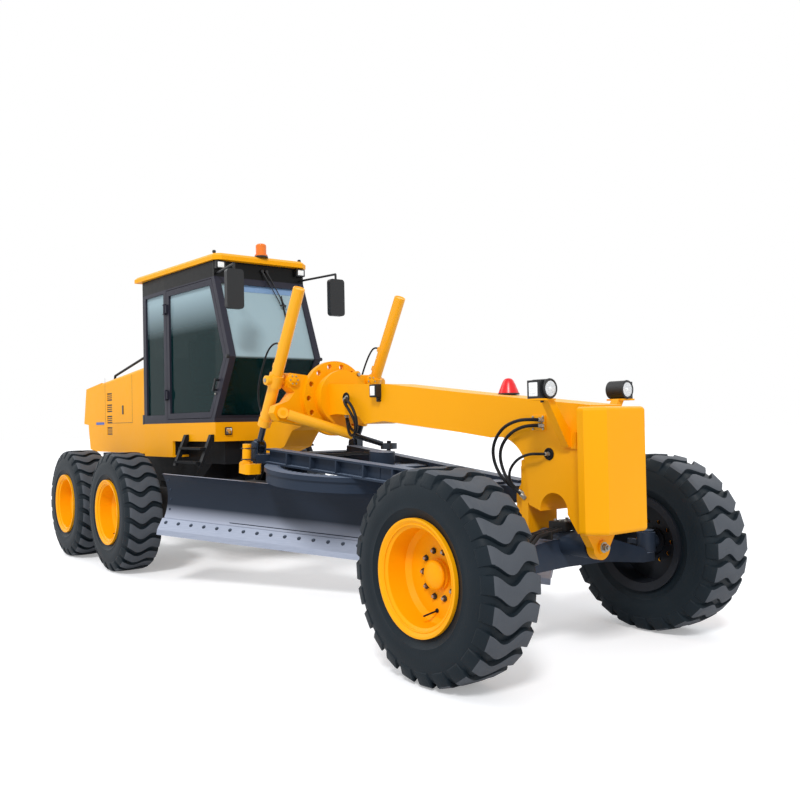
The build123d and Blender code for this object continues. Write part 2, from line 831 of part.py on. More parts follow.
# Openings for the windscreen and the rear window, seen from the front
FRONT_HALF = CAB_PLAN[3][1] - POST_WIDTH
with BuildPart() as front_cut:
    with BuildSketch(Plane.YZ.offset(TANDEM_X + PILLAR_FOOT - 150)):
        with Locations((0, (SILL_TOP + 30 + HEAD_Z - HEADER_DROP + 40) / 2)):
            Rectangle(2 * FRONT_HALF, HEAD_Z - HEADER_DROP + 40 - SILL_TOP - 30)
    extrude(amount=700)
with BuildPart() as rear_cut:
    with BuildSketch(Plane.YZ.offset(TANDEM_X + CAB_REAR - 50)):
        with Locations((0, (REAR_WINDOW_LOW + DOOR_HEAD) / 2)):
            Rectangle(2 * (CAB_PLAN[0][1] - POST_WIDTH - 30), DOOR_HEAD - REAR_WINDOW_LOW)
    extrude(amount=200)

DOOR_AXIS_X = TANDEM_X + POST_X + POST_WIDTH / 2
DOOR_AXIS_Y = cab_half(POST_X + POST_WIDTH / 2) + DOOR_HINGE_OUT
with BuildPart() as cab_base:
    add(cab_plan(0, BASE_LOW_REAR, SILL_LOW - BASE_LOW_REAR))
    add(side_block(REAR_SIDE, BASE_OUTLINE, CAB_PLAN[0][1] + 10), mode=Mode.INTERSECT)
keep(cab_base, "cab_base")

with BuildPart() as cab_shell:
    add(wall)
    add(front_cut.part, mode=Mode.SUBTRACT)
    add(rear_cut.part, mode=Mode.SUBTRACT)
    for side in (-1, 1):
        add(wall_window(door_outline(-DOOR_GAP), side), mode=Mode.SUBTRACT)
        add(wall_window(QUARTER_WINDOW, side), mode=Mode.SUBTRACT)
        # Hinge lugs and pins for the door, on the rear post
        for hinge_z in DOOR_HINGE_HEIGHTS:
            for lug_z in (hinge_z - DOOR_LUG - 1, hinge_z + DOOR_KNUCKLE + 1):
                with BuildSketch(Plane.XY.offset(lug_z)):
                    with Locations((DOOR_AXIS_X, side * DOOR_AXIS_Y)):
                        Circle(DOOR_KNUCKLE_R)
                    with Locations((DOOR_AXIS_X - 25, side * (DOOR_AXIS_Y - DOOR_HINGE_OUT / 2))):
                        Rectangle(50, DOOR_HINGE_OUT + 6)
                extrude(amount=DOOR_LUG)
            with BuildSketch(Plane.XY.offset(hinge_z - DOOR_LUG)):
                with Locations((DOOR_AXIS_X, side * DOOR_AXIS_Y)):
                    Circle(DOOR_PIN_R)
            extrude(amount=DOOR_KNUCKLE + 2 * DOOR_LUG)
keep(cab_shell, "cab_shell")

with BuildPart() as cab_glass:
    for opening in (front_cut.part, rear_cut.part):
        add(pane_sheet & opening)
    for side in (-1, 1):
        add(pane_sheet & wall_window(QUARTER_WINDOW, side))
keep(cab_glass, "cab_glass")

# Doors: a frame with its pane and a bar handle, on hinges at the rear post
for side, side_name in ((-1, "right"), (1, "left")):
    with BuildPart() as door:
        add(wall & wall_window(door_outline(0), side))
        add(wall_window(door_outline(DOOR_FRAME), side), mode=Mode.SUBTRACT)
        for hinge_z in DOOR_HINGE_HEIGHTS:
            with BuildSketch(Plane.XY.offset(hinge_z)):
                with Locations((DOOR_AXIS_X, side * DOOR_AXIS_Y)):
                    Circle(DOOR_KNUCKLE_R)
                with Locations((DOOR_AXIS_X + 28, side * (DOOR_AXIS_Y - DOOR_HINGE_OUT / 2))):
                    Rectangle(46, DOOR_HINGE_OUT + 10)
                with Locations((DOOR_AXIS_X, side * DOOR_AXIS_Y)):
                    Circle(DOOR_PIN_R + RUNNING_FIT, mode=Mode.SUBTRACT)
            extrude(amount=DOOR_KNUCKLE)
    keep(door, f"door_{side_name}")
    with BuildPart() as door_glass:
        add(pane_sheet & wall_window(door_outline(DOOR_FRAME), side))
    keep(door_glass, f"door_glass_{side_name}")

# Roof, with its sides drawn in towards the front
with BuildPart() as cab_roof:
    with BuildSketch(Plane.XY.offset(ROOF_LOW)):
        with BuildLine():
            Polyline(
                (TANDEM_X + ROOF_REAR, -ROOF_REAR_HALF),
                (TANDEM_X + ROOF_FRONT - 60, -ROOF_FRONT_HALF),
                (TANDEM_X + ROOF_FRONT, -ROOF_FRONT_HALF + 80),
                (TANDEM_X + ROOF_FRONT, ROOF_FRONT_HALF - 80),
                (TANDEM_X + ROOF_FRONT - 60, ROOF_FRONT_HALF),
                (TANDEM_X + ROOF_REAR, ROOF_REAR_HALF),
                close=True,
            )
        make_face()
    extrude(amount=ROOF_TOP - ROOF_LOW)
    chamfer(cab_roof.faces().sort_by(Axis.Z)[-1].edges(), ROOF_EDGE)
keep(cab_roof, "cab_roof")

# Seat: cushion, back and pedestal
with BuildPart() as seat:
    with BuildSketch(Plane.XY.offset(SILL_LOW + CAB_FLOOR)):
        with Locations((TANDEM_X + SEAT_X, 0)):
            Rectangle(360, 360)
    extrude(amount=SEAT_HEIGHT - SEAT_CUSHION)
    with BuildSketch(Plane.XY.offset(SILL_LOW + CAB_FLOOR + SEAT_HEIGHT - SEAT_CUSHION)):
        with Locations((TANDEM_X + SEAT_X, 0)):
            Rectangle(SEAT_SIZE, SEAT_SIZE)
    extrude(amount=SEAT_CUSHION)
    fillet(seat.faces().sort_by(Axis.Z)[-1].edges(), 35)
    add(side_block(REAR_SIDE, [
        (SEAT_X - SEAT_SIZE / 2 + SEAT_INSET, SILL_LOW + CAB_FLOOR + SEAT_HEIGHT - 70),
        (SEAT_X - SEAT_SIZE / 2 + SEAT_INSET + SEAT_BACK_THICK, SILL_LOW + CAB_FLOOR + SEAT_HEIGHT - 70),
        (SEAT_X - SEAT_SIZE / 2 + SEAT_INSET, SILL_LOW + CAB_FLOOR + SEAT_HEIGHT + SEAT_BACK),
        (SEAT_X - SEAT_SIZE / 2 + SEAT_INSET - SEAT_BACK_LEAN, SILL_LOW + CAB_FLOOR + SEAT_HEIGHT + SEAT_BACK),
    ], SEAT_SIZE / 2 - 2 * SEAT_INSET))
keep(seat, "cab_seat")

# Steering console with its wheel
CONSOLE_TOP = (TANDEM_X + CONSOLE_X - 130, 0, SILL_LOW + CAB_FLOOR + CONSOLE_HEIGHT)
with BuildPart() as console:
    add(side_block(REAR_SIDE, [
        (CONSOLE_X - 60, SILL_LOW + CAB_FLOOR),
        (CONSOLE_X + 120, SILL_LOW + CAB_FLOOR),
        (CONSOLE_X - 70, SILL_LOW + CAB_FLOOR + CONSOLE_HEIGHT),
        (CONSOLE_X - 190, SILL_LOW + CAB_FLOOR + CONSOLE_HEIGHT - 40),
    ], CONSOLE_HALF))
    wheel_plane = Plane(origin=CONSOLE_TOP, x_dir=(0, 1, 0), z_dir=STEERING_TILT)
    with BuildSketch(wheel_plane.offset(-30)):
        Circle(STEERING_COLUMN_R)
    extrude(amount=90)
    with BuildSketch(wheel_plane.offset(STEERING_COLUMN)):
        Circle(STEERING_R)
        Circle(STEERING_R - STEERING_RIM, mode=Mode.SUBTRACT)
        Rectangle(2 * STEERING_R - 20, STEERING_SPOKE)
    extrude(amount=STEERING_RIM)
keep(console, "cab_console")

# Roof lights: two front lamps on the header and the beacon on the roof
with BuildPart() as roof_lamps:
    for side in (-1, 1):
        with BuildSketch(Plane.YZ.offset(TANDEM_X + PILLAR_HEAD)):
            with Locations((side * LAMP_Y, LAMP_Z)):
                Rectangle(LAMP_WIDTH, LAMP_HEIGHT)
        extrude(amount=LAMP_REACH)
keep(roof_lamps, "roof_lamps")
with BuildPart() as beacon:
    with BuildSketch(Plane.XY.offset(ROOF_TOP)):
        with Locations((TANDEM_X + BEACON_X, 0)):
            Circle(BEACON_R + 12)
    extrude(amount=30)
    with BuildSketch(Plane.XY.offset(ROOF_TOP + 30)):
        with Locations((TANDEM_X + BEACON_X, 0)):
            Circle(BEACON_R)
    extrude(amount=BEACON_HEIGHT - 30)
    fillet(beacon.faces().sort_by(Axis.Z)[-1].edges(), 22)
keep(beacon, "beacon")

# Mirrors on bent arms from the cab's header
with BuildPart() as mirrors:
    for side in (-1, 1):
        root = Vector(TANDEM_X + PILLAR_HEAD, side * (CAB_PLAN[3][1] - 40), MIRROR_ARM_Z)
        elbow = Vector(TANDEM_X + MIRROR_X, side * MIRROR_Y, MIRROR_ARM_Z)
        foot = Vector(TANDEM_X + MIRROR_X, side * MIRROR_Y, MIRROR_Z)
        add(rod_between(root, elbow, MIRROR_ARM_R))
        add(rod_between(elbow, foot, MIRROR_ARM_R))
        with BuildSketch(Plane.YZ.offset(TANDEM_X + MIRROR_X - MIRROR_DEPTH / 2)):
            with Locations((side * MIRROR_Y, MIRROR_Z)):
                RectangleRounded(MIRROR_WIDTH, MIRROR_HEIGHT, 35)
        extrude(amount=MIRROR_DEPTH)
    add(outer_block, mode=Mode.SUBTRACT)
keep(mirrors, "mirrors")


# Ladders: two splayed uprights and two rungs on each side of the base
with BuildPart() as ladders:
    for side in (-1, 1):
        for upright in (LADDER_BACK, LADDER_FRONT):
            wall_y = cab_half(upright - LADDER_BAR / 2) + FACE_GAP
            with BuildSketch(Plane.YZ.offset(TANDEM_X + upright - LADDER_BAR / 2)):
                with BuildLine():
                    Polyline(
                        (side * wall_y, LADDER_TOP),
                        (side * (wall_y + LADDER_THICK), LADDER_TOP),
                        (side * (wall_y + LADDER_SPLAY), LADDER_LOW),
                        (side * (wall_y + LADDER_SPLAY - LADDER_THICK), LADDER_LOW),
                        (side * wall_y, LADDER_TOP - 60),
                        close=True,
                    )
                make_face()
            extrude(amount=LADDER_BAR)
        for rung_z, rung_share in ((LADDER_LOW + 30, 0.9), (LADDER_LOW + 180, 0.5)):
            rung_y = cab_half(LADDER_BACK) + LADDER_THICK / 2 + rung_share * (LADDER_SPLAY - LADDER_THICK)
            with BuildSketch(Plane.XY.offset(rung_z)):
                with Locations((TANDEM_X + (LADDER_BACK + LADDER_FRONT) / 2, side * (rung_y - 12))):
                    Rectangle(LADDER_FRONT - LADDER_BACK, 90)
            extrude(amount=24)
keep(ladders, "ladders")

# Handrails on the hood, up to the cab's rear wall
with BuildPart() as handrails:
    rail_foot_z = HOOD_TOP_REAR + (RAIL_FOOT_X - HOOD_STEP_X) * (HOOD_TOP_FRONT - HOOD_TOP_REAR) / (
        HOOD_FRONT - HOOD_STEP_X)
    for side in (-1, 1):
        foot = (TANDEM_X + RAIL_FOOT_X, side * RAIL_Y, rail_foot_z)
        bend = (TANDEM_X + RAIL_FOOT_X + 20, side * RAIL_Y, rail_foot_z + RAIL_RISE)
        head = (TANDEM_X + CAB_REAR, side * RAIL_Y, RAIL_END_Z)
        add(rod_between(foot, bend, RAIL_R))
        add(rod_between(bend, head, RAIL_R))
        with Locations(bend):
            Sphere(RAIL_R)
    add(cab_plan(0, SILL_LOW, SHELL_TOP - SILL_LOW), mode=Mode.SUBTRACT)
    add(side_block(REAR_SIDE, HOOD_OUTLINE, HOOD_HALF), mode=Mode.SUBTRACT)
keep(handrails, "handrails")

# Front frame
with BuildPart() as front_frame:
    with BuildSketch(FRONT_SIDE):
        with BuildLine():
            Polyline(
                ARCH_FRONT,
                (306, 866),
                (NOSE_REACH - NOSE_DEPTH, 900),
                (NOSE_REACH - NOSE_DEPTH, 1717),
                (318, 1729),
                (-807, 1850),
                (-1754, 1961),
                (-2600, 2000),
                (-2785, 1990),
                (-3300, 1830),
                (NECK_END, 1560),
                (NECK_END, HINGE_LOW + HINGE_LUG + NECK_LUG_CLEAR),
                (-3450, 1400),
                (-3283, 1565),
                (-2785, 1690),
                (-2500, 1716),
                (-2150, 1690),
                (-2060, 1618),
                (-1785, 1641),
                (-816, 1542),
                (-486, 1502),
            )
            ThreePointArc((-486, 1502), (-230, 1440), (-154, 1339))
            Polyline((-154, 1339), (-121, 1033), ARCH_REAR)
            ThreePointArc(ARCH_REAR, ARCH_TOP, ARCH_FRONT)
        make_face()
    extrude(amount=BEAM_HALF, both=True)
    # Hinge lug between the rear frame's two
    with BuildSketch(Plane.XY.offset(HINGE_LOW + HINGE_LUG + NECK_LUG_CLEAR)):
        with Locations((HINGE_X, 0)):
            Circle(HINGE_LUG_R)
        with BuildLine():
            Polyline(
                (HINGE_X, HINGE_LUG_R),
                (FRONT_X + NECK_END + 5, BEAM_HALF),
                (FRONT_X + NECK_END + 5, -BEAM_HALF),
                (HINGE_X, -HINGE_LUG_R),
                close=True,
            )
        make_face()
        with Locations((HINGE_X, 0)):
            Circle(HINGE_PIN_R + RUNNING_FIT, mode=Mode.SUBTRACT)
    extrude(amount=HINGE_TOP - HINGE_LOW - 2 * HINGE_LUG - 2 * NECK_LUG_CLEAR)
    # Hangers that hold the axle's pivot pin
    for hanger_x, hanger_top in ((NOSE_REACH - NOSE_DEPTH - 120, 930), (REAR_HANGER_X, 1300)):
        with BuildSketch(Plane.YZ.offset(FRONT_X + hanger_x)):
            with BuildLine():
                Polyline(
                    (-HANGER_R, PIVOT_Z),
                    (-HANGER_HALF, PIVOT_Z + 90),
                    (-HANGER_HALF, hanger_top),
                    (HANGER_HALF, hanger_top),
                    (HANGER_HALF, PIVOT_Z + 90),
                    (HANGER_R, PIVOT_Z),
                    close=True,
                )
            make_face()
            with Locations((0, PIVOT_Z)):
                Circle(HANGER_R)
        extrude(amount=HANGER_THICK)
    with BuildSketch(Plane.YZ.offset(FRONT_X + REAR_HANGER_X - 15)):
        with Locations((0, PIVOT_Z)):
            Circle(PIVOT_PIN_R)
    extrude(amount=NOSE_REACH - NOSE_DEPTH - 45 - REAR_HANGER_X + 15)
    # Socket block for the drawbar's ball, behind the rear leg
    add(side_block(FRONT_SIDE, [
        (REAR_HANGER_X + 10, BALL_Z + 210),
        (REAR_HANGER_X + 10, BALL_Z - 90),
        (BALL_AHEAD, BALL_Z - 90),
        (BALL_AHEAD - 40, BALL_Z - 50),
        (BALL_AHEAD - 40, BALL_Z + 60),
    ], 110))
    add(side_block(FRONT_SIDE, [
        (REAR_HANGER_X + 5, BALL_Z + 300),
        (REAR_HANGER_X + 5, BALL_Z),
        (-100, BALL_Z),
        (-100, BALL_Z + 340),
    ], HANGER_HALF))
    with Locations((FRONT_X + BALL_AHEAD, 0, BALL_Z)):
        Sphere(BALL_R + 1, mode=Mode.SUBTRACT)
    with BuildSketch(Plane.YZ.offset(FRONT_X + BALL_AHEAD - 60)):
        with Locations((0, BALL_Z)):
            Circle(BALL_R + 25)
    extrude(amount=60 - 8, mode=Mode.SUBTRACT)
keep(front_frame, "front_frame")

# Nose box at the front end of the beam
with BuildPart() as nose_box:
    with BuildSketch(Plane.XY.offset(NOSE_LOW)):
        with BuildLine():
            back = FRONT_X + NOSE_REACH - NOSE_DEPTH
            face = FRONT_X + NOSE_REACH
            Polyline(
                (back, -NOSE_HALF),
                (face - NOSE_BEVEL, -NOSE_HALF),
                (face, -NOSE_FACE_HALF),
                (face, NOSE_FACE_HALF),
                (face - NOSE_BEVEL, NOSE_HALF),
                (back, NOSE_HALF),
                close=True,
            )
        make_face()
    extrude(amount=NOSE_TOP - NOSE_LOW)
    fillet(nose_box.faces().sort_by(Axis.Z)[-1].edges() + nose_box.faces().sort_by(Axis.Z)[0].edges()
           - nose_box.faces().sort_by(Axis.X)[0].edges(), NOSE_ROUND)
keep(nose_box, "nose_box")

# Saddle: two discs around the beam and the arms that carry the cylinders
ARM_OUTLINE = [  # half width, height
    (0, 2110),
    (200, 2080),
    (330, 2095),
    (480, 2110),
    (510, 2043),
    (480, 1975),
    (430, 1930),
    (500, 1850),
    (640, 1800),
    (665, 1735),
    (620, 1665),
    (200, 1600),
    (0, 1600),
]
BEAM_SLOT = [
    (FRONT_DISC_X + 100, 2004),
    (ARM_X - 100, 2004),
    (ARM_X - 100, 1560),
    (FRONT_DISC_X + 100, 1560),
]
shift_pin = Vector(FRONT_X + SHIFT_PIN[0], SHIFT_PIN[1], SHIFT_PIN[2])
shift_ball = Vector(FRONT_X + SHIFT_BALL[0], SHIFT_BALL[1], SHIFT_BALL[2])
shift_along = (shift_ball - shift_pin).normalized()
shift_swing = shift_along.cross(Vector(0, 0, 1)).normalized()
with BuildPart() as saddle:
    with BuildSketch(Plane.YZ.offset(FRONT_X + FRONT_DISC_X - FRONT_DISC_THICK)):
        with Locations((0, DISC_Z)):
            Circle(FRONT_DISC_R)
    extrude(amount=FRONT_DISC_THICK)
    with BuildSketch(Plane.YZ.offset(FRONT_X + INDEX_X)):
        with Locations((0, DISC_Z)):
            Circle(FRONT_DISC_R - 25)
    extrude(amount=FRONT_DISC_X - INDEX_X)
    with BuildSketch(Plane.YZ.offset(FRONT_X + INDEX_X - INDEX_THICK)):
        with Locations((0, DISC_Z)):
            Circle(INDEX_R)
            with PolarLocations(INDEX_R - 50, INDEX_HOLES):
                Circle(INDEX_HOLE_R, mode=Mode.SUBTRACT)
    extrude(amount=INDEX_THICK)
    with BuildSketch(Plane.YZ.offset(FRONT_X + ARM_X - ARM_HALF_THICK)):
        with BuildLine():
            Polyline(
                *[(half, height) for half, height in ARM_OUTLINE],
                *[(-half, height) for half, height in reversed(ARM_OUTLINE[1:-1])],
                close=True,
            )
        make_face()
    extrude(amount=INDEX_X - INDEX_THICK - ARM_X + ARM_HALF_THICK + 5)
    # Bosses for the lift cylinders' stubs
    for side in (-1, 1):
        with BuildSketch(FRONT_SIDE.offset(-side * LIFT_BOSS_START)):
            with Locations((LIFT_TOP_PIN[0], LIFT_TOP_PIN[2])):
                Circle(LIFT_BOSS_R)
        extrude(amount=-side * (LIFT_BOSS_END - LIFT_BOSS_START))
    # Boss and pin for the side-shift cylinder's eye, on the right arm
    add(rod_between(shift_pin - shift_swing * (SHIFT_EYE_HALF + 3), shift_pin - shift_swing * SHIFT_BOSS_LENGTH,
                    SHIFT_BOSS_R))
    add(rod_between(shift_pin - shift_swing * 100, shift_pin + shift_swing * (SHIFT_EYE_HALF + 2), SHIFT_PIN_R))
    add(front_frame.part, mode=Mode.SUBTRACT)
    # The arms' lower wings are thinner, which leaves the swinging barrels room
    for side in (-1, 1):
        with Locations((FRONT_X + ARM_X - ARM_HALF_THICK, side * WING_START, WING_TOP)):
            Box(WING_CUT, WING_LENGTH, WING_HEIGHT, mode=Mode.SUBTRACT,
                align=(Align.MIN, Align.MIN if side > 0 else Align.MAX, Align.MAX))
    for side in (-1, 1):
        with BuildSketch(FRONT_SIDE.offset(-side * (STUB_END - 5))):
            with Locations((LIFT_TOP_PIN[0], LIFT_TOP_PIN[2])):
                Circle(STUB_R + RUNNING_FIT)
        extrude(amount=-side * 200, mode=Mode.SUBTRACT)
keep(saddle, "saddle")

# Front axle: a cranked beam with a boss for the pivot pin and a kingpin at each end
AXLE_OUTLINE = [  # half width, height
    (0, 800),
    (150, 800),
    (420, 770),
    (880, 640),
    (915, YOKE_TOP),
    (KINGPIN_Y, YOKE_TOP),
    (KINGPIN_Y, YOKE_LOW),
    (860, YOKE_LOW),
    (420, 590),
    (0, 600),
]
with BuildPart() as front_axle:
    with BuildSketch(Plane.YZ.offset(FRONT_X - AXLE_HALF)):
        with BuildLine():
            Polyline(
                *AXLE_OUTLINE,
                *[(-half, height) for half, height in reversed(AXLE_OUTLINE[1:-1])],
                close=True,
            )
        make_face()
    extrude(amount=2 * AXLE_HALF)
    with BuildSketch(Plane.YZ.offset(FRONT_X + BOSS_BACK)):
        with Locations((0, PIVOT_Z)):
            Circle(BOSS_R)
    extrude(amount=BOSS_FRONT - BOSS_BACK)
    for side in (-1, 1):
        with BuildSketch(Plane.XY.offset(YOKE_LOW)):
            with Locations((FRONT_X, side * KINGPIN_Y)):
                Circle(AXLE_EYE_R)
        extrude(amount=YOKE_TOP - YOKE_LOW)
        with BuildSketch(Plane.XY.offset(YOKE_TOP)):
            with Locations((FRONT_X, side * KINGPIN_Y)):
                Circle(KINGPIN_R)
        extrude(amount=SLEEVE_HEIGHT + 4)
        with BuildSketch(Plane.XY.offset(YOKE_TOP + SLEEVE_HEIGHT + 4)):
            with Locations((FRONT_X, side * KINGPIN_Y)):
                Circle(KINGPIN_R + 20)
        extrude(amount=14)
    with BuildSketch(Plane.YZ.offset(FRONT_X + BOSS_BACK - 10)):
        with Locations((0, PIVOT_Z)):
            Circle(PIVOT_PIN_R + RUNNING_FIT)
    extrude(amount=BOSS_FRONT - BOSS_BACK + 20, mode=Mode.SUBTRACT)
keep(front_axle, "front_axle")

# Steering knuckles with their spindles and arms
for side, side_name in ((-1, "right"), (1, "left")):
    with BuildPart() as knuckle:
        with BuildSketch(Plane.XY.offset(YOKE_TOP + 2)):
            with Locations((FRONT_X, side * KINGPIN_Y)):
                Circle(SLEEVE_R)
        extrude(amount=SLEEVE_HEIGHT)
        with BuildSketch(FRONT_SIDE.offset(-side * (KINGPIN_Y + 10))):
            with Locations((0, TYRE_R)):
                Circle(SPINDLE_R)
        extrude(amount=-side * (TREAD / 2 + SPINDLE_TIP - KINGPIN_Y - 10))
        with BuildSketch(Plane.XY.offset(STEER_ARM_LOW)):
            with Locations((FRONT_X - STEER_ARM / 2, side * KINGPIN_Y)):
                Rectangle(STEER_ARM, 2 * STEER_ARM_HALF)
            with Locations((FRONT_X - STEER_ARM, side * KINGPIN_Y)):
                Circle(STEER_ARM_HALF)
        extrude(amount=STEER_ARM_THICK)
        with BuildSketch(Plane.XY.offset(YOKE_TOP)):
            with Locations((FRONT_X, side * KINGPIN_Y)):
                Circle(KINGPIN_R + RUNNING_FIT)
            with Locations((FRONT_X - STEER_ARM, side * KINGPIN_Y)):
                Circle(TIE_PIN_R + (RUNNING_FIT if side < 0 else 1))
        extrude(amount=SLEEVE_HEIGHT + 10, mode=Mode.SUBTRACT)
    keep(knuckle, f"knuckle_{side_name}")

# Tie rod between the steering arms
with BuildPart() as tie_rod:
    add(rod_between((FRONT_X - STEER_ARM, -KINGPIN_Y, TIE_Z), (FRONT_X - STEER_ARM, KINGPIN_Y, TIE_Z), TIE_R))
    for side in (-1, 1):
        with BuildSketch(Plane.XY.offset(TIE_Z - 22)):
            with Locations((FRONT_X - STEER_ARM, side * KINGPIN_Y)):
                Circle(24)
        extrude(amount=STEER_ARM_LOW - FACE_GAP - TIE_Z + 22)
        with BuildSketch(Plane.XY.offset(TIE_Z)):
            with Locations((FRONT_X - STEER_ARM, side * KINGPIN_Y)):
                Circle(TIE_PIN_R)
        extrude(amount=STEER_ARM_LOW + STEER_ARM_THICK - TIE_Z)
keep(tie_rod, "tie_rod")

# Drawbar frame, in a plane that rises to the rear from the ball
TILT = math.radians(DRAWBAR_PITCH)
BALL = Vector(FRONT_X + BALL_AHEAD, 0, BALL_Z)
BAR_X = Vector(math.cos(TILT), 0, -math.sin(TILT))
BAR_Z = Vector(math.sin(TILT), 0, math.cos(TILT))
BAR = Plane(origin=BALL, x_dir=BAR_X, z_dir=BAR_Z)
BAR_SIDE = Plane(origin=BALL, x_dir=BAR_X, z_dir=(0, -1, 0))


def in_bar(point):
    # A point measured from the front axle, as (along, up) in the drawbar's plane
    offset_from_ball = Vector(point[0] - BALL_AHEAD, 0, point[2] - BALL_Z)
    return offset_from_ball.dot(BAR_X), offset_from_ball.dot(BAR_Z)


lift_u, lift_w = in_bar(LIFT_BALL)
shift_u, shift_w = in_bar(SHIFT_BALL)
with BuildPart() as drawbar:
    for side in (-1, 1):
        outer = [(-back, side * half) for back, half in LEG_POINTS]
        inner = [(-back, side * (half - LEG_WIDTH)) for back, half in reversed(LEG_POINTS)]
        with BuildSketch(BAR.offset(LEG_LOW)):
            with BuildLine():
                Polyline(*outer, *inner, close=True)
            make_face()
        extrude(amount=LEG_TOP - LEG_LOW)
        # The leg is a channel, open outwards, with ribs left across it
        with BuildSketch(BAR.offset(LEG_LOW + LEG_FLANGE)):
            with BuildLine():
                pocket = [(-back, side * (half - LEG_POCKET)) for back, half in reversed(LEG_POINTS)]
                Polyline(*[(u, v + side * 5) for u, v in outer], *pocket, close=True)
            make_face()
            for rib in range(1, RIB_COUNT + 1):
                with Locations((-LEG_POINTS[0][0] - rib * RIB_PITCH, 0)):
                    Rectangle(RIB_THICK, 3 * CROSS_HALF, mode=Mode.SUBTRACT)
        extrude(amount=LEG_TOP - LEG_LOW - 2 * LEG_FLANGE, mode=Mode.SUBTRACT)
    # Head plate with the neck to the ball
    with BuildSketch(BAR.offset(LEG_LOW)):
        with BuildLine():
            Polyline(*HEAD_PLATE, close=True)
        make_face()
    extrude(amount=LEG_TOP - LEG_LOW - HEAD_PLATE_DROP)
    with Locations(BALL):
        Sphere(BALL_R)
    with BuildSketch(Plane(origin=BALL, x_dir=(0, 1, 0), z_dir=-BAR_X)):
        Circle(NECK_R)
    extrude(amount=NECK_LENGTH)
    # Cross members, the front one carrying the circle's drive
    for cross_u, cross_length, cross_half, cross_top in (
        *CROSS_MEMBERS,
        ((CROSS_BACK + CROSS_FRONT) / 2, CROSS_FRONT - CROSS_BACK, CROSS_HALF, CROSS_TOP),
    ):
        with BuildSketch(BAR.offset(LEG_LOW)):
            with Locations((cross_u, 0)):
                Rectangle(cross_length, 2 * cross_half)
        extrude(amount=cross_top - LEG_LOW)
    with BuildSketch(BAR.offset(LEG_LOW)):
        with Locations((SWIVEL_U, 0)):
            Circle(SWIVEL_R)
    extrude(amount=SWIVEL_HEIGHT)
    # Cheeks and pins for the lift cylinders' eyes
    for side in (-1, 1):
        for cheek in (EYE_HALF + 3, -EYE_HALF - 3 - CHEEK):
            with BuildSketch(BAR_SIDE.offset(-side * LIFT_BALL[1] + cheek)):
                with Locations((lift_u, lift_w)):
                    Circle(CHEEK_R)
                with Locations((lift_u, (lift_w + LEG_LOW) / 2)):
                    Rectangle(2 * CHEEK_R, lift_w - LEG_LOW)
            extrude(amount=CHEEK)
        with BuildSketch(BAR_SIDE.offset(-side * LIFT_BALL[1] - EYE_HALF - PIN_IN_CHEEK)):
            with Locations((lift_u, lift_w)):
                Circle(LIFT_PIN_R)
        extrude(amount=2 * EYE_HALF + 2 * PIN_IN_CHEEK)
    # Post for the side-shift cylinder's ball on the left leg
    for post_r, post_height in ((POST_FOOT_R, -POST_PROUD), (SHIFT_POST_R, POST_PROUD + POST_SUNK)):
        with BuildSketch(BAR.offset(LEG_TOP - POST_SUNK)):
            with Locations((shift_u, SHIFT_BALL[1])):
                Circle(post_r)
        extrude(amount=shift_w - LEG_TOP + post_height)
keep(drawbar, "drawbar")

# Circle: a flanged ring with inner teeth and the two arms for the blade
YAW = math.radians(BLADE_YAW)
CENTRE = BALL + BAR_X * CIRCLE_U
BLADE_E = BAR_X * math.cos(YAW) + Vector(0, 1, 0) * math.sin(YAW)
BLADE_M = Vector(0, 1, 0) * math.cos(YAW) - BAR_X * math.sin(YAW)
RING = Plane(origin=CENTRE, x_dir=BAR_X, z_dir=BAR_Z)
BLADE_CUT = Plane(origin=CENTRE, x_dir=BLADE_M, z_dir=BLADE_E)


def blade_bar(points, start, end):
    # A bar along the blade, from its section (behind, up) between two stations
    with BuildPart() as bar:
        with BuildSketch(BLADE_CUT.offset(start)):
            with BuildLine():
                Polyline(*points, close=True)
            make_face()
        extrude(amount=end - start)
    return bar.part


with BuildPart() as circle:
    with BuildSketch(RING.offset(CIRCLE_TOP - FACE_GAP)):
        Circle(CIRCLE_R)
        Circle(CIRCLE_INNER, mode=Mode.SUBTRACT)
        with PolarLocations(CIRCLE_INNER, TOOTH_COUNT):
            Rectangle(2 * TOOTH, TOOTH, mode=Mode.SUBTRACT)
    extrude(amount=-CIRCLE_FLANGE)
    with BuildSketch(RING.offset(CIRCLE_TOP - FACE_GAP)):
        Circle(CIRCLE_WALL_OUT)
        Circle(CIRCLE_WALL_IN, mode=Mode.SUBTRACT)
    extrude(amount=CIRCLE_LOW - CIRCLE_TOP)
    for side in (-1, 1):
        middle = side * BLADE_ARM_E
        arm_low = PITCH_W - PITCH_EYE_R
        add(blade_bar([
            (470, CIRCLE_TOP - CIRCLE_FLANGE - 10),
            (255, CIRCLE_TOP - CIRCLE_FLANGE - 10),
            (255, CIRCLE_LOW + 20),
            (-120, CIRCLE_LOW + 4),
            (ARM_FACE, TOP_RAIL + SLIDE_RAIL),
            (ARM_FACE, PITCH_W),
            (PITCH_M - PITCH_EYE_R / 2, arm_low),
            (PITCH_M + PITCH_EYE_R / 2, arm_low),
            (PITCH_M + PITCH_EYE_R + 30, PITCH_W + 40),
            (470, CIRCLE_LOW - 20),
        ], middle - BLADE_ARM_THICK / 2, middle + BLADE_ARM_THICK / 2))
    # The pin that the blade's carrier tilts on
    with BuildSketch(BLADE_CUT.offset(-BLADE_ARM_E - BLADE_ARM_THICK / 2 - 10)):
        with Locations((PITCH_M, PITCH_W)):
            Circle(PITCH_PIN_R)
    extrude(amount=2 * BLADE_ARM_E + BLADE_ARM_THICK + 20)
keep(circle, "circle")

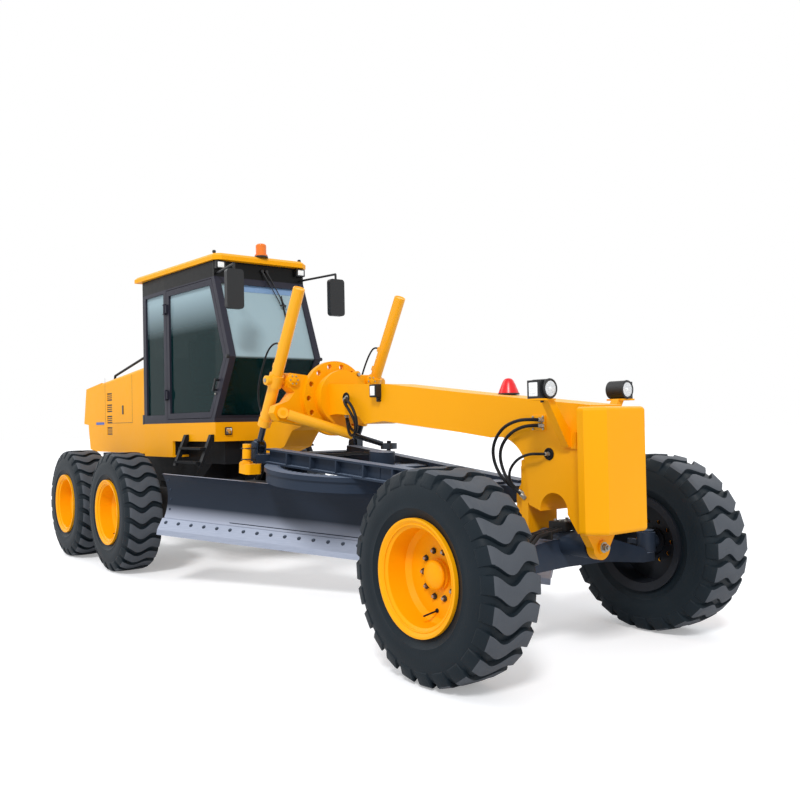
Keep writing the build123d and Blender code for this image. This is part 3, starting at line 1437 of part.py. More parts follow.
# Moldboard: a curved plate with two slide rails on its back
mold_m, mold_w = MOLD_CENTRE
BLADE_START = BLADE_OFFSET - BLADE_LENGTH / 2
BLADE_END = BLADE_OFFSET + BLADE_LENGTH / 2


def mold_point(radius, height):
    # Where the moldboard's arc of a radius lies at a height
    return mold_m + math.sqrt(radius**2 - (height - mold_w) ** 2), height


def slide_rail(height, clearance):
    # A slide rail's section, grown all round for the carrier's groove
    back = SLIDE_RAIL_BACK + clearance
    front = mold_point(MOLD_R + MOLD_THICK / 2, height)[0] - (8 if clearance == 0 else -8)
    half = SLIDE_RAIL / 2 + clearance
    return [(front, height + half), (back, height + half), (back, height - half), (front, height - half)]


with BuildPart() as moldboard:
    with BuildSketch(BLADE_CUT.offset(BLADE_START)):
        with BuildLine():
            face_low, face_high = mold_point(MOLD_R, MOLD_LOW), mold_point(MOLD_R, MOLD_TOP)
            back_low = mold_point(MOLD_R + MOLD_THICK, MOLD_LOW)
            back_high = mold_point(MOLD_R + MOLD_THICK, MOLD_TOP)
            ThreePointArc(face_low, (mold_m + MOLD_R, mold_w), face_high)
            Line(face_high, back_high)
            ThreePointArc(back_high, (mold_m + MOLD_R + MOLD_THICK, mold_w), back_low)
            Line(back_low, face_low)
        make_face()
    extrude(amount=BLADE_LENGTH)
    for rail_height in (TOP_RAIL, LOW_RAIL):
        add(blade_bar(slide_rail(rail_height, 0), -SLIDE_RAIL_HALF, SLIDE_RAIL_HALF))
keep(moldboard, "moldboard")

# Cutting edge along the moldboard's foot, with an end bit at each tip
edge_face = EDGE_BACK - EDGE_THICK
with BuildPart() as cutting_edge:
    add(blade_bar([
        (edge_face - 22, EDGE_LOW),
        (EDGE_BACK - 22, EDGE_LOW),
        (mold_point(MOLD_R, MOLD_LOW)[0] - FACE_GAP, MOLD_LOW),
        (mold_point(MOLD_R, EDGE_TOP)[0] - 12, EDGE_TOP),
        (mold_point(MOLD_R, EDGE_TOP)[0] - 12 - EDGE_THICK, EDGE_TOP),
        (edge_face - 12, MOLD_LOW),
    ], BLADE_START, BLADE_END))
    add(moldboard.part, mode=Mode.SUBTRACT)
keep(cutting_edge, "cutting_edge")

def side_cylinder(along):
    # A point on the side-shift cylinder's axis
    return CENTRE + BLADE_E * along + BLADE_M * SIDE_CYLINDER_M + BAR_Z * SIDE_CYLINDER_W


# Carrier between the circle's arms: its cheeks tilt on the pin and grip the rails
with BuildPart() as carrier:
    for side in (-1, 1):
        middle = side * CARRIER_E
        add(blade_bar([
            (-100, TOP_RAIL + 48),
            (-40, TOP_RAIL + 48),
            (PITCH_M + 40, PITCH_W + 70),
            (PITCH_M + 62, PITCH_W),
            (PITCH_M + 30, PITCH_W - 70),
            (-40, LOW_RAIL - 48),
            (-100, LOW_RAIL - 48),
        ], middle - CARRIER_THICK / 2, middle + CARRIER_THICK / 2))
    add(blade_bar([
        (-35, PITCH_W + 95),
        (-5, PITCH_W + 95),
        (-5, PITCH_W + 45),
        (-35, PITCH_W + 45),
    ], -CARRIER_E, CARRIER_E))
    for rail_height in (TOP_RAIL, LOW_RAIL):
        add(blade_bar(slide_rail(rail_height, FACE_GAP), -SLIDE_RAIL_HALF, SLIDE_RAIL_HALF), mode=Mode.SUBTRACT)
    with BuildSketch(BLADE_CUT.offset(-CARRIER_E - CARRIER_THICK)):
        with Locations((mold_m, mold_w)):
            Circle(MOLD_R + MOLD_THICK + 4)
        with Locations((PITCH_M, PITCH_W)):
            Circle(PITCH_PIN_R + RUNNING_FIT)
    extrude(amount=2 * CARRIER_E + 2 * CARRIER_THICK, mode=Mode.SUBTRACT)
    add(rod_between(side_cylinder(CARRIER_E - CARRIER_THICK), side_cylinder(CARRIER_E + CARRIER_THICK),
                    SIDE_ROD_R + SIDE_ROD_HOLE), mode=Mode.SUBTRACT)
keep(carrier, "blade_carrier")

# Cylinder that shifts the blade sideways: the barrel lies between the cheeks, the rod ends in a lug on the blade
side_reach = CARRIER_E - CARRIER_THICK / 2 - FACE_GAP
with BuildPart() as side_barrel:
    add(rod_between(side_cylinder(-side_reach), side_cylinder(side_reach), SIDE_CYLINDER_R))
    add(rod_between(side_cylinder(SIDE_CYLINDER_WALL - side_reach), side_cylinder(side_reach + SIDE_CYLINDER_WALL),
                    SIDE_ROD_R + RUNNING_FIT), mode=Mode.SUBTRACT)
keep(side_barrel, "blade_cylinder")
with BuildPart() as side_rod:
    add(rod_between(side_cylinder(SIDE_ROD_INNER), side_cylinder(SIDE_LUG_E + 1), SIDE_ROD_R))
    add(blade_bar([
        (SIDE_LUG[0], SIDE_CYLINDER_W - SIDE_LUG_HALF),
        (SIDE_LUG[0], SIDE_CYLINDER_W + SIDE_LUG_HALF),
        (SIDE_LUG[1], SIDE_CYLINDER_W + SIDE_LUG_HALF),
        (SIDE_LUG[1], SIDE_CYLINDER_W - SIDE_LUG_HALF),
    ], SIDE_LUG_E, SIDE_LUG_E + SIDE_LUG_LENGTH))
    add(moldboard.part, mode=Mode.SUBTRACT)
keep(side_rod, "blade_rod")

# Lift cylinders: barrels on stubs in the saddle and rods down to the drawbar
for side, side_name in ((-1, "right"), (1, "left")):
    pin = Vector(FRONT_X + LIFT_TOP_PIN[0], side * LIFT_TOP_PIN[1], LIFT_TOP_PIN[2])
    ball = Vector(FRONT_X + LIFT_BALL[0], side * LIFT_BALL[1], LIFT_BALL[2])
    down = (ball - pin).normalized()
    reach = (ball - pin).length
    with BuildPart() as barrel:
        add(rod_between(pin - down * LIFT_BARREL_UP, pin + down * LIFT_BARREL_DOWN, LIFT_BARREL_R))
        add(rod_between(pin + down * (LIFT_BARREL_DOWN - LIFT_HEAD), pin + down * (LIFT_BARREL_DOWN + OVERRUN),
                        LIFT_BARREL_R + LIFT_HEAD_PROUD))
        add(rod_between(pin - down * LIFT_COLLAR_HALF, pin + down * LIFT_COLLAR_HALF, LIFT_BARREL_R + LIFT_COLLAR))
        add(rod_between((pin.X, side * STUB_END, pin.Z), (pin.X, side * (STUB_END + STUB_LENGTH), pin.Z), STUB_R))
        add(rod_between(pin - down * (LIFT_BARREL_UP - LIFT_HEAD), pin + down * (LIFT_BARREL_DOWN + 2 * OVERRUN),
                        LIFT_ROD_R + RUNNING_FIT), mode=Mode.SUBTRACT)
    keep(barrel, f"lift_barrel_{side_name}")
    with BuildPart() as rod:
        add(rod_between(pin - down * (LIFT_ROD_INSIDE - LIFT_BARREL_DOWN), ball - down * (EYE_R - OVERRUN),
                        LIFT_ROD_R))
        with BuildSketch(FRONT_SIDE.offset(-side * LIFT_BALL[1] - EYE_HALF)):
            with Locations((LIFT_BALL[0], LIFT_BALL[2])):
                Circle(EYE_R)
        extrude(amount=2 * EYE_HALF)
        with BuildSketch(FRONT_SIDE.offset(-side * LIFT_BALL[1] - EYE_HALF - 5)):
            with Locations((LIFT_BALL[0], LIFT_BALL[2])):
                Circle(LIFT_PIN_R + EYE_SLACK)
        extrude(amount=2 * EYE_HALF + OVERRUN, mode=Mode.SUBTRACT)
    keep(rod, f"lift_rod_{side_name}")

# Side-shift cylinder of the drawbar, across the machine below the saddle
with BuildPart() as shift_barrel:
    add(rod_between(shift_pin + shift_along * (SHIFT_BOSS_R + 4),
                    shift_pin + shift_along * SHIFT_BARREL_LENGTH, SHIFT_BARREL_R))
    add(rod_between(shift_pin - shift_swing * SHIFT_EYE_HALF, shift_pin + shift_swing * SHIFT_EYE_HALF,
                    SHIFT_EYE_R))
    add(rod_between(shift_pin + shift_along * SHIFT_BORE_START,
                    shift_pin + shift_along * (SHIFT_BARREL_LENGTH + 2 * OVERRUN),
                    SHIFT_ROD_R + RUNNING_FIT), mode=Mode.SUBTRACT)
    add(rod_between(shift_pin - shift_swing * SHIFT_PIN_REACH, shift_pin + shift_swing * SHIFT_PIN_REACH,
                    SHIFT_PIN_R + RUNNING_FIT),
        mode=Mode.SUBTRACT)
keep(shift_barrel, "shift_barrel")
with BuildPart() as shift_rod:
    add(rod_between(shift_pin + shift_along * SHIFT_ROD_START,
                    shift_ball - shift_along * (SHIFT_RING_R - SHIFT_ROD_SUNK), SHIFT_ROD_R))
    with BuildSketch(Plane.XY.offset(shift_ball.Z - SHIFT_RING_HALF)):
        with Locations((shift_ball.X, shift_ball.Y)):
            Circle(SHIFT_RING_R)
    extrude(amount=2 * SHIFT_RING_HALF)
    with BuildSketch(Plane.XY.offset(shift_ball.Z - 2 * SHIFT_RING_HALF)):
        with Locations((shift_ball.X, shift_ball.Y)):
            Circle(SHIFT_POST_R + SHIFT_POST_SLACK)
    extrude(amount=4 * SHIFT_RING_HALF, mode=Mode.SUBTRACT)
keep(shift_rod, "shift_rod")

# Head lamps beside the nose on yellow brackets: a round lamp with a marker lamp outboard of it
with BuildPart() as lamp_brackets:
    for side in (-1, 1):
        foot = side * (BEAM_HALF + FACE_GAP)
        with BuildSketch(Plane.YZ.offset(FRONT_X + STRUT_X)):
            with BuildLine():
                Polyline(
                    (foot, STRUT_LOW),
                    (foot, STRUT_LOW + 90),
                    (side * (HEAD_LAMP_Y - 60), HEAD_LAMP_BASE),
                    (side * (HEAD_LAMP_Y + 90), HEAD_LAMP_BASE),
                    (side * (HEAD_LAMP_Y + 90), HEAD_LAMP_BASE - STRUT_THICK),
                    (side * (HEAD_LAMP_Y - 5), HEAD_LAMP_BASE - STRUT_THICK),
                    (side * (BEAM_HALF + 35), STRUT_LOW),
                    close=True,
                )
            make_face()
        extrude(amount=STRUT_WIDTH)
        with BuildSketch(FRONT_SIDE.offset(-foot)):
            with Locations((STRUT_X + STRUT_WIDTH / 2 + 15, STRUT_LOW + 45)):
                Rectangle(STRUT_WIDTH + 60, 110)
        extrude(amount=-side * STRUT_THICK)
        with BuildSketch(Plane.XY.offset(HEAD_LAMP_BASE)):
            with Locations((FRONT_X + HEAD_LAMP_X - HEAD_LAMP_DEPTH / 2, side * (HEAD_LAMP_Y + 15))):
                Rectangle(HEAD_LAMP_DEPTH - 10, LAMP_PLATE_WIDTH)
        extrude(amount=-STRUT_THICK)
keep(lamp_brackets, "lamp_brackets")

with BuildPart() as front_lamps:
    for side in (-1, 1):
        middle = Vector(FRONT_X + HEAD_LAMP_X, side * HEAD_LAMP_Y, HEAD_LAMP_BASE + HEAD_LAMP_R)
        add(rod_between(middle, middle - Vector(HEAD_LAMP_DEPTH, 0, 0), HEAD_LAMP_R))
        with BuildSketch(Plane.XY.offset(HEAD_LAMP_BASE)):
            with Locations((FRONT_X + HEAD_LAMP_X - MARKER_BACK, side * (HEAD_LAMP_Y + MARKER_WIDTH / 2))):
                Rectangle(MARKER_DEPTH, MARKER_WIDTH)
        extrude(amount=2 * HEAD_LAMP_R - 8)
    # Square work lamp on the right side of the beam
    with BuildSketch(FRONT_SIDE.offset(BEAM_HALF + FACE_GAP)):
        with Locations((WORK_LAMP_X, WORK_LAMP_Z)):
            Rectangle(WORK_LAMP_WIDTH, WORK_LAMP_HEIGHT)
    extrude(amount=WORK_LAMP_PROUD)
keep(front_lamps, "front_lamps")

# Drive of the circle: a gear housing beside the drawbar's right end, with its motor on top
with BuildPart() as circle_drive:
    with BuildSketch(BAR.offset(DRIVE_LOW)):
        with Locations((DRIVE_U, DRIVE_Y)):
            RectangleRounded(DRIVE_LENGTH, DRIVE_WIDTH, 40)
    extrude(amount=LEG_LOW - FACE_GAP - DRIVE_LOW)
    with BuildSketch(BAR.offset(LEG_LOW - FACE_GAP)):
        with Locations((DRIVE_U, DRIVE_Y - 40)):
            Circle(MOTOR_R)
    extrude(amount=MOTOR_HEIGHT)
    with BuildSketch(BAR.offset(LEG_LOW - FACE_GAP)):
        with Locations((DRIVE_U, DRIVE_Y - 40)):
            RegularPolygon(MOTOR_R + 18, 6)
    extrude(amount=MOTOR_FLANGE)
keep(circle_drive, "circle_drive")
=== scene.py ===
import json
import math

import bmesh
import bpy
from mathutils import Matrix, Vector


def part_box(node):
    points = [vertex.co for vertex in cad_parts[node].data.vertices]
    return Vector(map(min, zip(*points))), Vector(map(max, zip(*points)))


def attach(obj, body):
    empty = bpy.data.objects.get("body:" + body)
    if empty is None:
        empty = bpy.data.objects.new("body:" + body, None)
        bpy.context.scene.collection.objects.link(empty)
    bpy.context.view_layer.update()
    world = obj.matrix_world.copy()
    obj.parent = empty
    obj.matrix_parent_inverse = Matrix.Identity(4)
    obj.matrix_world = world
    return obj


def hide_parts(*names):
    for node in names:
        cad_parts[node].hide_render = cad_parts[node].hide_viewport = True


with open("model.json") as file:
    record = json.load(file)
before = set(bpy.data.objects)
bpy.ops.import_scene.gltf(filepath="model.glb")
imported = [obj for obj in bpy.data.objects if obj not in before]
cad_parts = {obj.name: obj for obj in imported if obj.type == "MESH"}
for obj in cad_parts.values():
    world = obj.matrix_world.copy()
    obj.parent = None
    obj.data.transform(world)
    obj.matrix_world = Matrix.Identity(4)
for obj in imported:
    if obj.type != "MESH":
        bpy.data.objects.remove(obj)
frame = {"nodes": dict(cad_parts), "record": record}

scene = bpy.context.scene
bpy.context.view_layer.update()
forward, rightward = Vector((1, 0, 0)), Vector((0, -1, 0))
sides = {"right": -1, "left": 1}
moved = Matrix.Translation
print("frame loaded")


def linearColour(code):
    values = [int(code[i:i + 2], 16) / 255 for i in (1, 3, 5)]
    return [v / 12.92 if v <= 0.04045 else ((v + 0.055) / 1.055) ** 2.4 for v in values] + [1.0]


def addNode(tree, kind, settings=None, links=None):
    # A colour is given as a hex value; a link comes from a socket, or from the first output of a node
    node = tree.nodes.new("ShaderNode" + kind)
    for name, value in (settings or {}).items():
        if hasattr(node, name) and name not in node.inputs:
            setattr(node, name, value)
        else:
            node.inputs[name].default_value = linearColour(value) if isinstance(value, str) else value
    for name, source in (links or {}).items():
        tree.links.new(getattr(source, "outputs", [source])[0], node.inputs[name])
    return node


def newMaterial(name):
    material = bpy.data.materials.new(name)
    material.use_nodes = True
    material.node_tree.nodes.clear()
    return material, material.node_tree


def closeMaterial(material, shader):
    addNode(material.node_tree, "OutputMaterial", links={"Surface": shader})
    return material


def joinInto(mesh, part, place=None, slot=0):
    if place is not None:
        part.transform(place)
    if slot is not None:
        for face in part.faces:
            face.material_index = slot
    data = bpy.data.meshes.new("part")
    part.to_mesh(data)
    part.free()
    mesh.from_mesh(data)
    bpy.data.meshes.remove(data)


def bevelEdges(part, edges, width, segments=2):
    bmesh.ops.bevel(part, geom=edges, offset=width, segments=segments, profile=0.5, affect="EDGES", material=-1)


def addBox(mesh, size, bevel, segments, place, slot=0):
    part = bmesh.new()
    bmesh.ops.create_cube(part, size=1.0)
    bmesh.ops.scale(part, vec=size, verts=part.verts)
    if bevel:
        bevelEdges(part, part.edges[:], bevel, segments)
    joinInto(mesh, part, place, slot)


def addDisc(mesh, radius, length, count, bevel, place, slot=0):
    part = bmesh.new()
    bmesh.ops.create_cone(part, cap_ends=True, segments=count, radius1=radius, radius2=radius, depth=length)
    if bevel:
        bevelEdges(part, [e for e in part.edges if abs(e.verts[0].co.z - e.verts[1].co.z) < 1e-6], bevel)
    joinInto(mesh, part, place, slot)


def spunShape(profile, steps=64, closed=True):
    # Turns a profile of (radius, height) points about Z
    part = bmesh.new()
    points = [part.verts.new((r, 0, z)) for r, z in profile]
    lines = [part.edges.new(pair) for pair in zip(points, points[1:])]
    if closed:
        lines.append(part.edges.new((points[-1], points[0])))
    bmesh.ops.spin(part, geom=points + lines, cent=(0, 0, 0), axis=(0, 0, 1), angle=math.tau,
                   steps=steps, use_merge=True)
    bmesh.ops.remove_doubles(part, verts=part.verts, dist=1e-6)
    bmesh.ops.recalc_face_normals(part, faces=part.faces)
    return part


def ringShape(radius, tube, steps=96, count=10):
    # A thin torus, spun from a circle of the tube's size
    return spunShape([(radius + tube * math.cos(math.tau * n / count), tube * math.sin(math.tau * n / count))
                      for n in range(count)], steps)


def facing(at, direction):
    return moved(at) @ Vector(direction).to_track_quat("Z", "Y").to_matrix().to_4x4()


def along(start, end):
    return facing((Vector(start) + Vector(end)) / 2, Vector(end) - Vector(start))


def spoke(angle):
    # A unit step out from a wheel's centre
    return Vector((math.cos(angle), 0, math.sin(angle)))


def onSide(point, side):
    return Vector((point[0], side * point[1], point[2]))


def addRod(mesh, start, end, radius, count=20, bevel=0.0, slot=0):
    addDisc(mesh, radius, (Vector(end) - Vector(start)).length, count, bevel, along(start, end), slot)


def addObject(name, data):
    made = bpy.data.objects.new(name, data)
    scene.collection.objects.link(made)
    return made


def newPiece(name, mesh, materials, body, sharp=38):
    limit = math.radians(sharp)
    for face in mesh.faces:
        face.smooth = True
    for edge in mesh.edges:
        edge.smooth = len(edge.link_faces) == 2 and edge.calc_face_angle(0) < limit
    data = bpy.data.meshes.new(name)
    mesh.to_mesh(data)
    mesh.free()
    for material in materials:
        data.materials.append(material)
    piece = addObject(name, data)
    if body:
        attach(piece, body)
    return piece


# Materials, one for each finish on the machine
paintLooks = {
    # name: colour, second colour, roughness, clear coat, road dust up to this height,
    # (shade, share, from, to) of the paler colour on faces that look up, a painted sky sheen and highlight with some
    # dust, (axis, from, to, other colour)
    "enamelYellow": ("#fbac00", "#f6a401", 0.4, 0.04, 0.7, ("#ffd98c", 0.35, 0.55, 0.98), None),
    # the rims turn dark inside y 1.1: painted shade on their inner side
    "enamelRim": ("#fdae02", "#f8a402", 0.38, 0.05, 0.3, None, ("Y", 1.106, 1.1, "#1b1e24")),
    "enamelSlate": ("#2d3848", "#262f3d", 0.42, 0.05, 0.7, ("#8492a8", 0.7, 0.55, 0.98), None),
    # the cylinders' yellow is paler than the machine's: painted highlight; their clear coat is real gloss
    "enamelCylinderHighlight": ("#ffb41c", "#fcb024", 0.28, 0.35, 0.2, None, None),
    # the blade's face is paler where it leans up and forward: painted highlight
    "enamelBlade": ("#242c39", "#1e2631", 0.34, 0.08, 0.3, ("#bfc5d6", 0.82, 0.12, 0.5), None),
    "enamelCabGrey": ("#2e2e3a", "#262630", 0.36, 0.1, 0.2, ("#5a5a6a", 0.3, 0.55, 0.98),
                      ("Z", 3.222, 3.23, "#08090a")),
    "enamelChassisBlack": ("#121316", "#191b1e", 0.5, 0.05, 1.0, ("#3b3d40", 0.4, 0.55, 0.98), None),
}


def paintMaterial(name, colour, second, roughness, coat, dustHeight, topSheenAndDust, split):
    # Two-pack machine enamel, sprayed: a soft gloss with faint orange peel and a little road dust low down.
    # Where split is given, the colour changes along one axis: a near-black band at the top of the cab, and on the rims
    # a dark inner side that is painted shade.
    material, tree = newMaterial(name)
    place = addNode(tree, "TexCoord").outputs["Object"]
    cloud = addNode(tree, "TexNoise", {"Scale": 1.3, "Detail": 4.0}, {"Vector": place})
    tint = addNode(tree, "MixRGB", {"Color1": colour, "Color2": second}, {"Fac": cloud})
    height = addNode(tree, "SeparateXYZ", links={"Vector": place})
    if split:
        axis, start, end, other = split
        away = addNode(tree, "Math", {"operation": "ABSOLUTE"}, {0: height.outputs[axis]})
        edge = addNode(tree, "MapRange", {"From Min": start, "From Max": end}, {"Value": away})
        tint = addNode(tree, "MixRGB", {"Color2": other}, {"Fac": edge, "Color1": tint})
    # Faces that look up are made paler: painted sky sheen and highlight, with some dust
    if topSheenAndDust:
        shade, share, start, end = topSheenAndDust
        normal = addNode(tree, "TexCoord").outputs["Normal"]
        facingUp = addNode(tree, "SeparateXYZ", links={"Vector": normal})
        sheenAndDustShare = addNode(tree, "MapRange", {"From Min": start, "From Max": end, "To Max": share},
                          {"Value": facingUp.outputs["Z"]})
        tint = addNode(tree, "MixRGB", {"Color2": shade}, {"Fac": sheenAndDustShare, "Color1": tint})
    low = addNode(tree, "MapRange", {"From Min": dustHeight, "From Max": 0.0, "To Max": 0.45},
                  {"Value": height.outputs["Z"]})
    specks = addNode(tree, "TexNoise", {"Scale": 14.0, "Detail": 6.0}, {"Vector": place})
    amount = addNode(tree, "Math", {"operation": "MULTIPLY"}, {0: low, 1: specks})
    dusty = addNode(tree, "MixRGB", {"Color2": "#8d8475"}, {"Fac": amount, "Color1": tint})
    rough = addNode(tree, "MapRange", {"To Min": roughness, "To Max": roughness + 0.16}, {"Value": specks})
    peel = addNode(tree, "TexNoise", {"Scale": 140.0, "Detail": 2.0}, {"Vector": place})
    bump = addNode(tree, "Bump", {"Strength": 0.06, "Distance": 0.002}, {"Height": peel})
    return closeMaterial(material, addNode(
        tree, "BsdfPrincipled", {"Coat Weight": coat, "Coat Roughness": 0.15, "IOR": 1.5, "Specular IOR Level": 0.14},
        {"Base Color": dusty, "Roughness": rough, "Normal": bump}))


def rubberMaterial(name, colour, second, roughness, grain):
    # Vulcanised carbon-black rubber, moulded: matt, with fine pitting and a bloom of dust
    material, tree = newMaterial(name)
    place = addNode(tree, "TexCoord").outputs["Object"]
    cloud = addNode(tree, "TexNoise", {"Scale": 5.0, "Detail": 7.0}, {"Vector": place})
    tint = addNode(tree, "MixRGB", {"Color1": colour, "Color2": second}, {"Fac": cloud})
    pits = addNode(tree, "TexNoise", {"Scale": grain, "Detail": 5.0}, {"Vector": place})
    bump = addNode(tree, "Bump", {"Strength": 0.35, "Distance": 0.003}, {"Height": pits})
    return closeMaterial(material, addNode(
        tree, "BsdfPrincipled", {"Roughness": roughness, "IOR": 1.5, "Specular IOR Level": 0.16},
        {"Base Color": tint, "Normal": bump}))


def metalMaterial(name, colour, second, roughness, stretch=(1.0, 1.0, 1.0)):
    # Bare steel, turned or worn bright: fine lines along the work, a little dull oxide between them
    material, tree = newMaterial(name)
    place = addNode(tree, "TexCoord").outputs["Object"]
    lines = addNode(tree, "Mapping", {"Scale": stretch}, {"Vector": place})
    grain = addNode(tree, "TexNoise", {"Scale": 30.0, "Detail": 4.0}, {"Vector": lines})
    tint = addNode(tree, "MixRGB", {"Color1": colour, "Color2": second}, {"Fac": grain})
    rough = addNode(tree, "MapRange", {"To Min": roughness, "To Max": roughness + 0.2}, {"Value": grain})
    bump = addNode(tree, "Bump", {"Strength": 0.1, "Distance": 0.001}, {"Height": grain})
    return closeMaterial(material, addNode(
        tree, "BsdfPrincipled", {"Metallic": 1.0}, {"Base Color": tint, "Roughness": rough, "Normal": bump}))


def plasticMaterial(name, colour, roughness, glow=0.0):
    # Moulded ABS or acrylic: even colour, with the fine sparked grain of its mould
    material, tree = newMaterial(name)
    place = addNode(tree, "TexCoord").outputs["Object"]
    cloud = addNode(tree, "TexNoise", {"Scale": 9.0, "Detail": 3.0}, {"Vector": place})
    rough = addNode(tree, "MapRange", {"To Min": roughness, "To Max": roughness + 0.12}, {"Value": cloud})
    skin = addNode(tree, "TexNoise", {"Scale": 220.0, "Detail": 2.0}, {"Vector": place})
    bump = addNode(tree, "Bump", {"Strength": 0.12, "Distance": 0.001}, {"Height": skin})
    return closeMaterial(material, addNode(
        tree, "BsdfPrincipled", {"Base Color": colour, "IOR": 1.49, "Emission Color": colour,
                                 "Emission Strength": glow}, {"Roughness": rough, "Normal": bump}))


def glassMaterial(name, colour, alpha, deep=None):
    # Tinted float glass: smooth, with a faint waviness, and deeper in colour towards the sill where deep is given
    material, tree = newMaterial(name)
    place = addNode(tree, "TexCoord").outputs["Object"]
    haze = addNode(tree, "TexNoise", {"Scale": 2.2, "Detail": 5.0}, {"Vector": place})
    links = {"Roughness": addNode(tree, "MapRange", {"To Min": 0.02, "To Max": 0.1}, {"Value": haze})}
    if deep:
        # The front pane changes colour at the waist rail, the side panes higher up and more softly
        paneEdge = {"From Min": 0.505, "From Max": 0.52}
        split = addNode(tree, "SeparateXYZ", links={"Vector": place})
        away = addNode(tree, "Math", {"operation": "ABSOLUTE"}, {0: split.outputs["Y"]})
        edge = addNode(tree, "MapRange", {**paneEdge, "To Min": 2.345, "To Max": 2.88}, {"Value": away})
        soft = addNode(tree, "MapRange", {**paneEdge, "To Min": 0.03, "To Max": 0.42}, {"Value": away})
        above = addNode(tree, "Math", {"operation": "SUBTRACT"}, {0: split.outputs["Z"], 1: edge})
        share = addNode(tree, "Math", {"operation": "DIVIDE"}, {0: above, 1: soft})
        part = addNode(tree, "MapRange", {"From Min": -0.5, "From Max": 0.5}, {"Value": share})
        links["Base Color"] = addNode(tree, "MixRGB", {"Color1": deep, "Color2": colour}, {"Fac": part})
    return closeMaterial(material, addNode(
        tree, "BsdfPrincipled", {"Base Color": colour, "Alpha": alpha, "IOR": 1.52,
                                 "Specular IOR Level": 0.1 if deep else 0.5}, links))


def clothMaterial(name, colour, second):
    # Woven seat cloth: threads of 3 mm, drawn three times coarser than the real ones so that they show
    material, tree = newMaterial(name)
    place = addNode(tree, "TexCoord").outputs["Object"]
    weft, warp = [addNode(tree, "TexWave", {"Scale": 55.0, "bands_direction": axis}, {"Vector": place}).outputs["Fac"]
                  for axis in ("X", "Z")]
    weave = addNode(tree, "Math", {"operation": "MULTIPLY"}, {0: weft, 1: warp})
    tint = addNode(tree, "MixRGB", {"Color1": colour, "Color2": second}, {"Fac": weave})
    bump = addNode(tree, "Bump", {"Strength": 0.4, "Distance": 0.002}, {"Height": weave})
    return closeMaterial(material, addNode(tree, "BsdfPrincipled", {"Roughness": 0.9, "Sheen Weight": 0.3},
                                           {"Base Color": tint, "Normal": bump}))


paint = {name: paintMaterial(name, *look) for name, look in paintLooks.items()}
yellow, slate, cylinderHighlightYellow = paint["enamelYellow"], paint["enamelSlate"], paint["enamelCylinderHighlight"]
cabGrey, chassisBlack, rimYellow = paint["enamelCabGrey"], paint["enamelChassisBlack"], paint["enamelRim"]
treadRubber = rubberMaterial("treadRubber", "#565a60", "#464a50", 0.6, 160.0)
wallRubber = rubberMaterial("wallRubber", "#1a242b", "#131b21", 0.5, 90.0)
hoseRubber = rubberMaterial("hoseRubber", "#17181a", "#202124", 0.42, 400.0)
sealRubber = rubberMaterial("sealRubber", "#101113", "#17181a", 0.6, 300.0)
brightSteel = metalMaterial("brightSteel", "#c9ccd0", "#a5a8ac", 0.22, (1.0, 1.0, 12.0))
# Chrome rods given a dark colour: painted reflection of dark surroundings
darkReflectionChrome = metalMaterial("darkReflectionChrome", "#474b51", "#3b3f45", 0.14)
wornSteel = metalMaterial("wornSteel", "#b7becf", "#949db0", 0.3, (0.3, 0.3, 6.0))
zincSteel = metalMaterial("zincSteel", "#b9b7ae", "#98968e", 0.4)
engineIron = metalMaterial("engineIron", "#4a4d50", "#3a3c3f", 0.6)
cabGlass = glassMaterial("cabGlass", "#a8c0c8", 0.78, "#07282a")
mirrorGlass = metalMaterial("mirrorGlass", "#e3e7ea", "#dfe3e6", 0.03)
lampGlass = glassMaterial("lampGlass", "#f4f7f8", 0.3)
lampReflector = metalMaterial("lampReflector", "#f0f1f2", "#dcdee0", 0.12)
lampWhite = plasticMaterial("lampWhite", "#eef0ef", 0.25, glow=0.15)
lampRed = plasticMaterial("lampRed", "#e0101a", 0.25)
stripeBlue = plasticMaterial("stripeBlue", "#3b5fae", 0.4)
filmBlue = plasticMaterial("filmBlue", "#7393b8", 0.2)
beaconAmber = plasticMaterial("beaconAmber", "#f07a1c", 0.2)
mouldedBlack = plasticMaterial("mouldedBlack", "#16181b", 0.45)
mouldedGrey = plasticMaterial("mouldedGrey", "#4a4f55", 0.5)
seatCloth = clothMaterial("seatCloth", "#1d1f22", "#34373b")
slotFinish = {"yellow_paint": yellow, "grey_paint": slate, "black_paint": chassisBlack, "tyre_rubber": wallRubber,
              "glass": cabGlass, "bare_steel": wornSteel, "engine_iron": engineIron, "seat_fabric": seatCloth,
              "lamp_plastic": mouldedBlack, "beacon_plastic": beaconAmber}
nodeFinish = {"lift_rod_": darkReflectionChrome, "shift_rod": darkReflectionChrome, "lift_barrel_": cylinderHighlightYellow,
              "shift_barrel": cylinderHighlightYellow, "cab_shell": cabGrey, "door_right": cabGrey, "door_left": cabGrey,
              "cab_console": mouldedGrey, "cutting_edge": wornSteel, "moldboard": paint["enamelBlade"],
              "rim_": rimYellow}   # by the start of a node's name
for entry in frame["record"]["subparts"]:
    starts = [finish for start, finish in nodeFinish.items() if entry["node"].startswith(start)]
    slots = frame["nodes"][entry["node"]].data.materials
    slots.clear()
    slots.append((starts or [slotFinish[entry["material_slot"]]])[0])
print("materials made")

# Camera, floor and light
view = {"right": (0.58913, 0.80782, -0.01885), "up": (0.02394, 0.00588, 0.9997), "back": (0.80768, -0.58941, -0.01588),
        "at": (7.865, -4.6188, 1.6253)}
camera = addObject("camera", bpy.data.cameras.new("camera"))
turn = Matrix([view[axis] for axis in ("right", "up", "back")]).transposed().to_4x4()
camera.matrix_world = moved(view["at"]) @ turn
optics = {"lens": 38.13, "sensor_width": 36, "shift_x": 0.0479, "shift_y": 0.0123, "clip_end": 200}
for setting, value in optics.items():
    setattr(camera.data, setting, value)
scene.camera = camera
scene.view_settings.view_transform = "Standard"

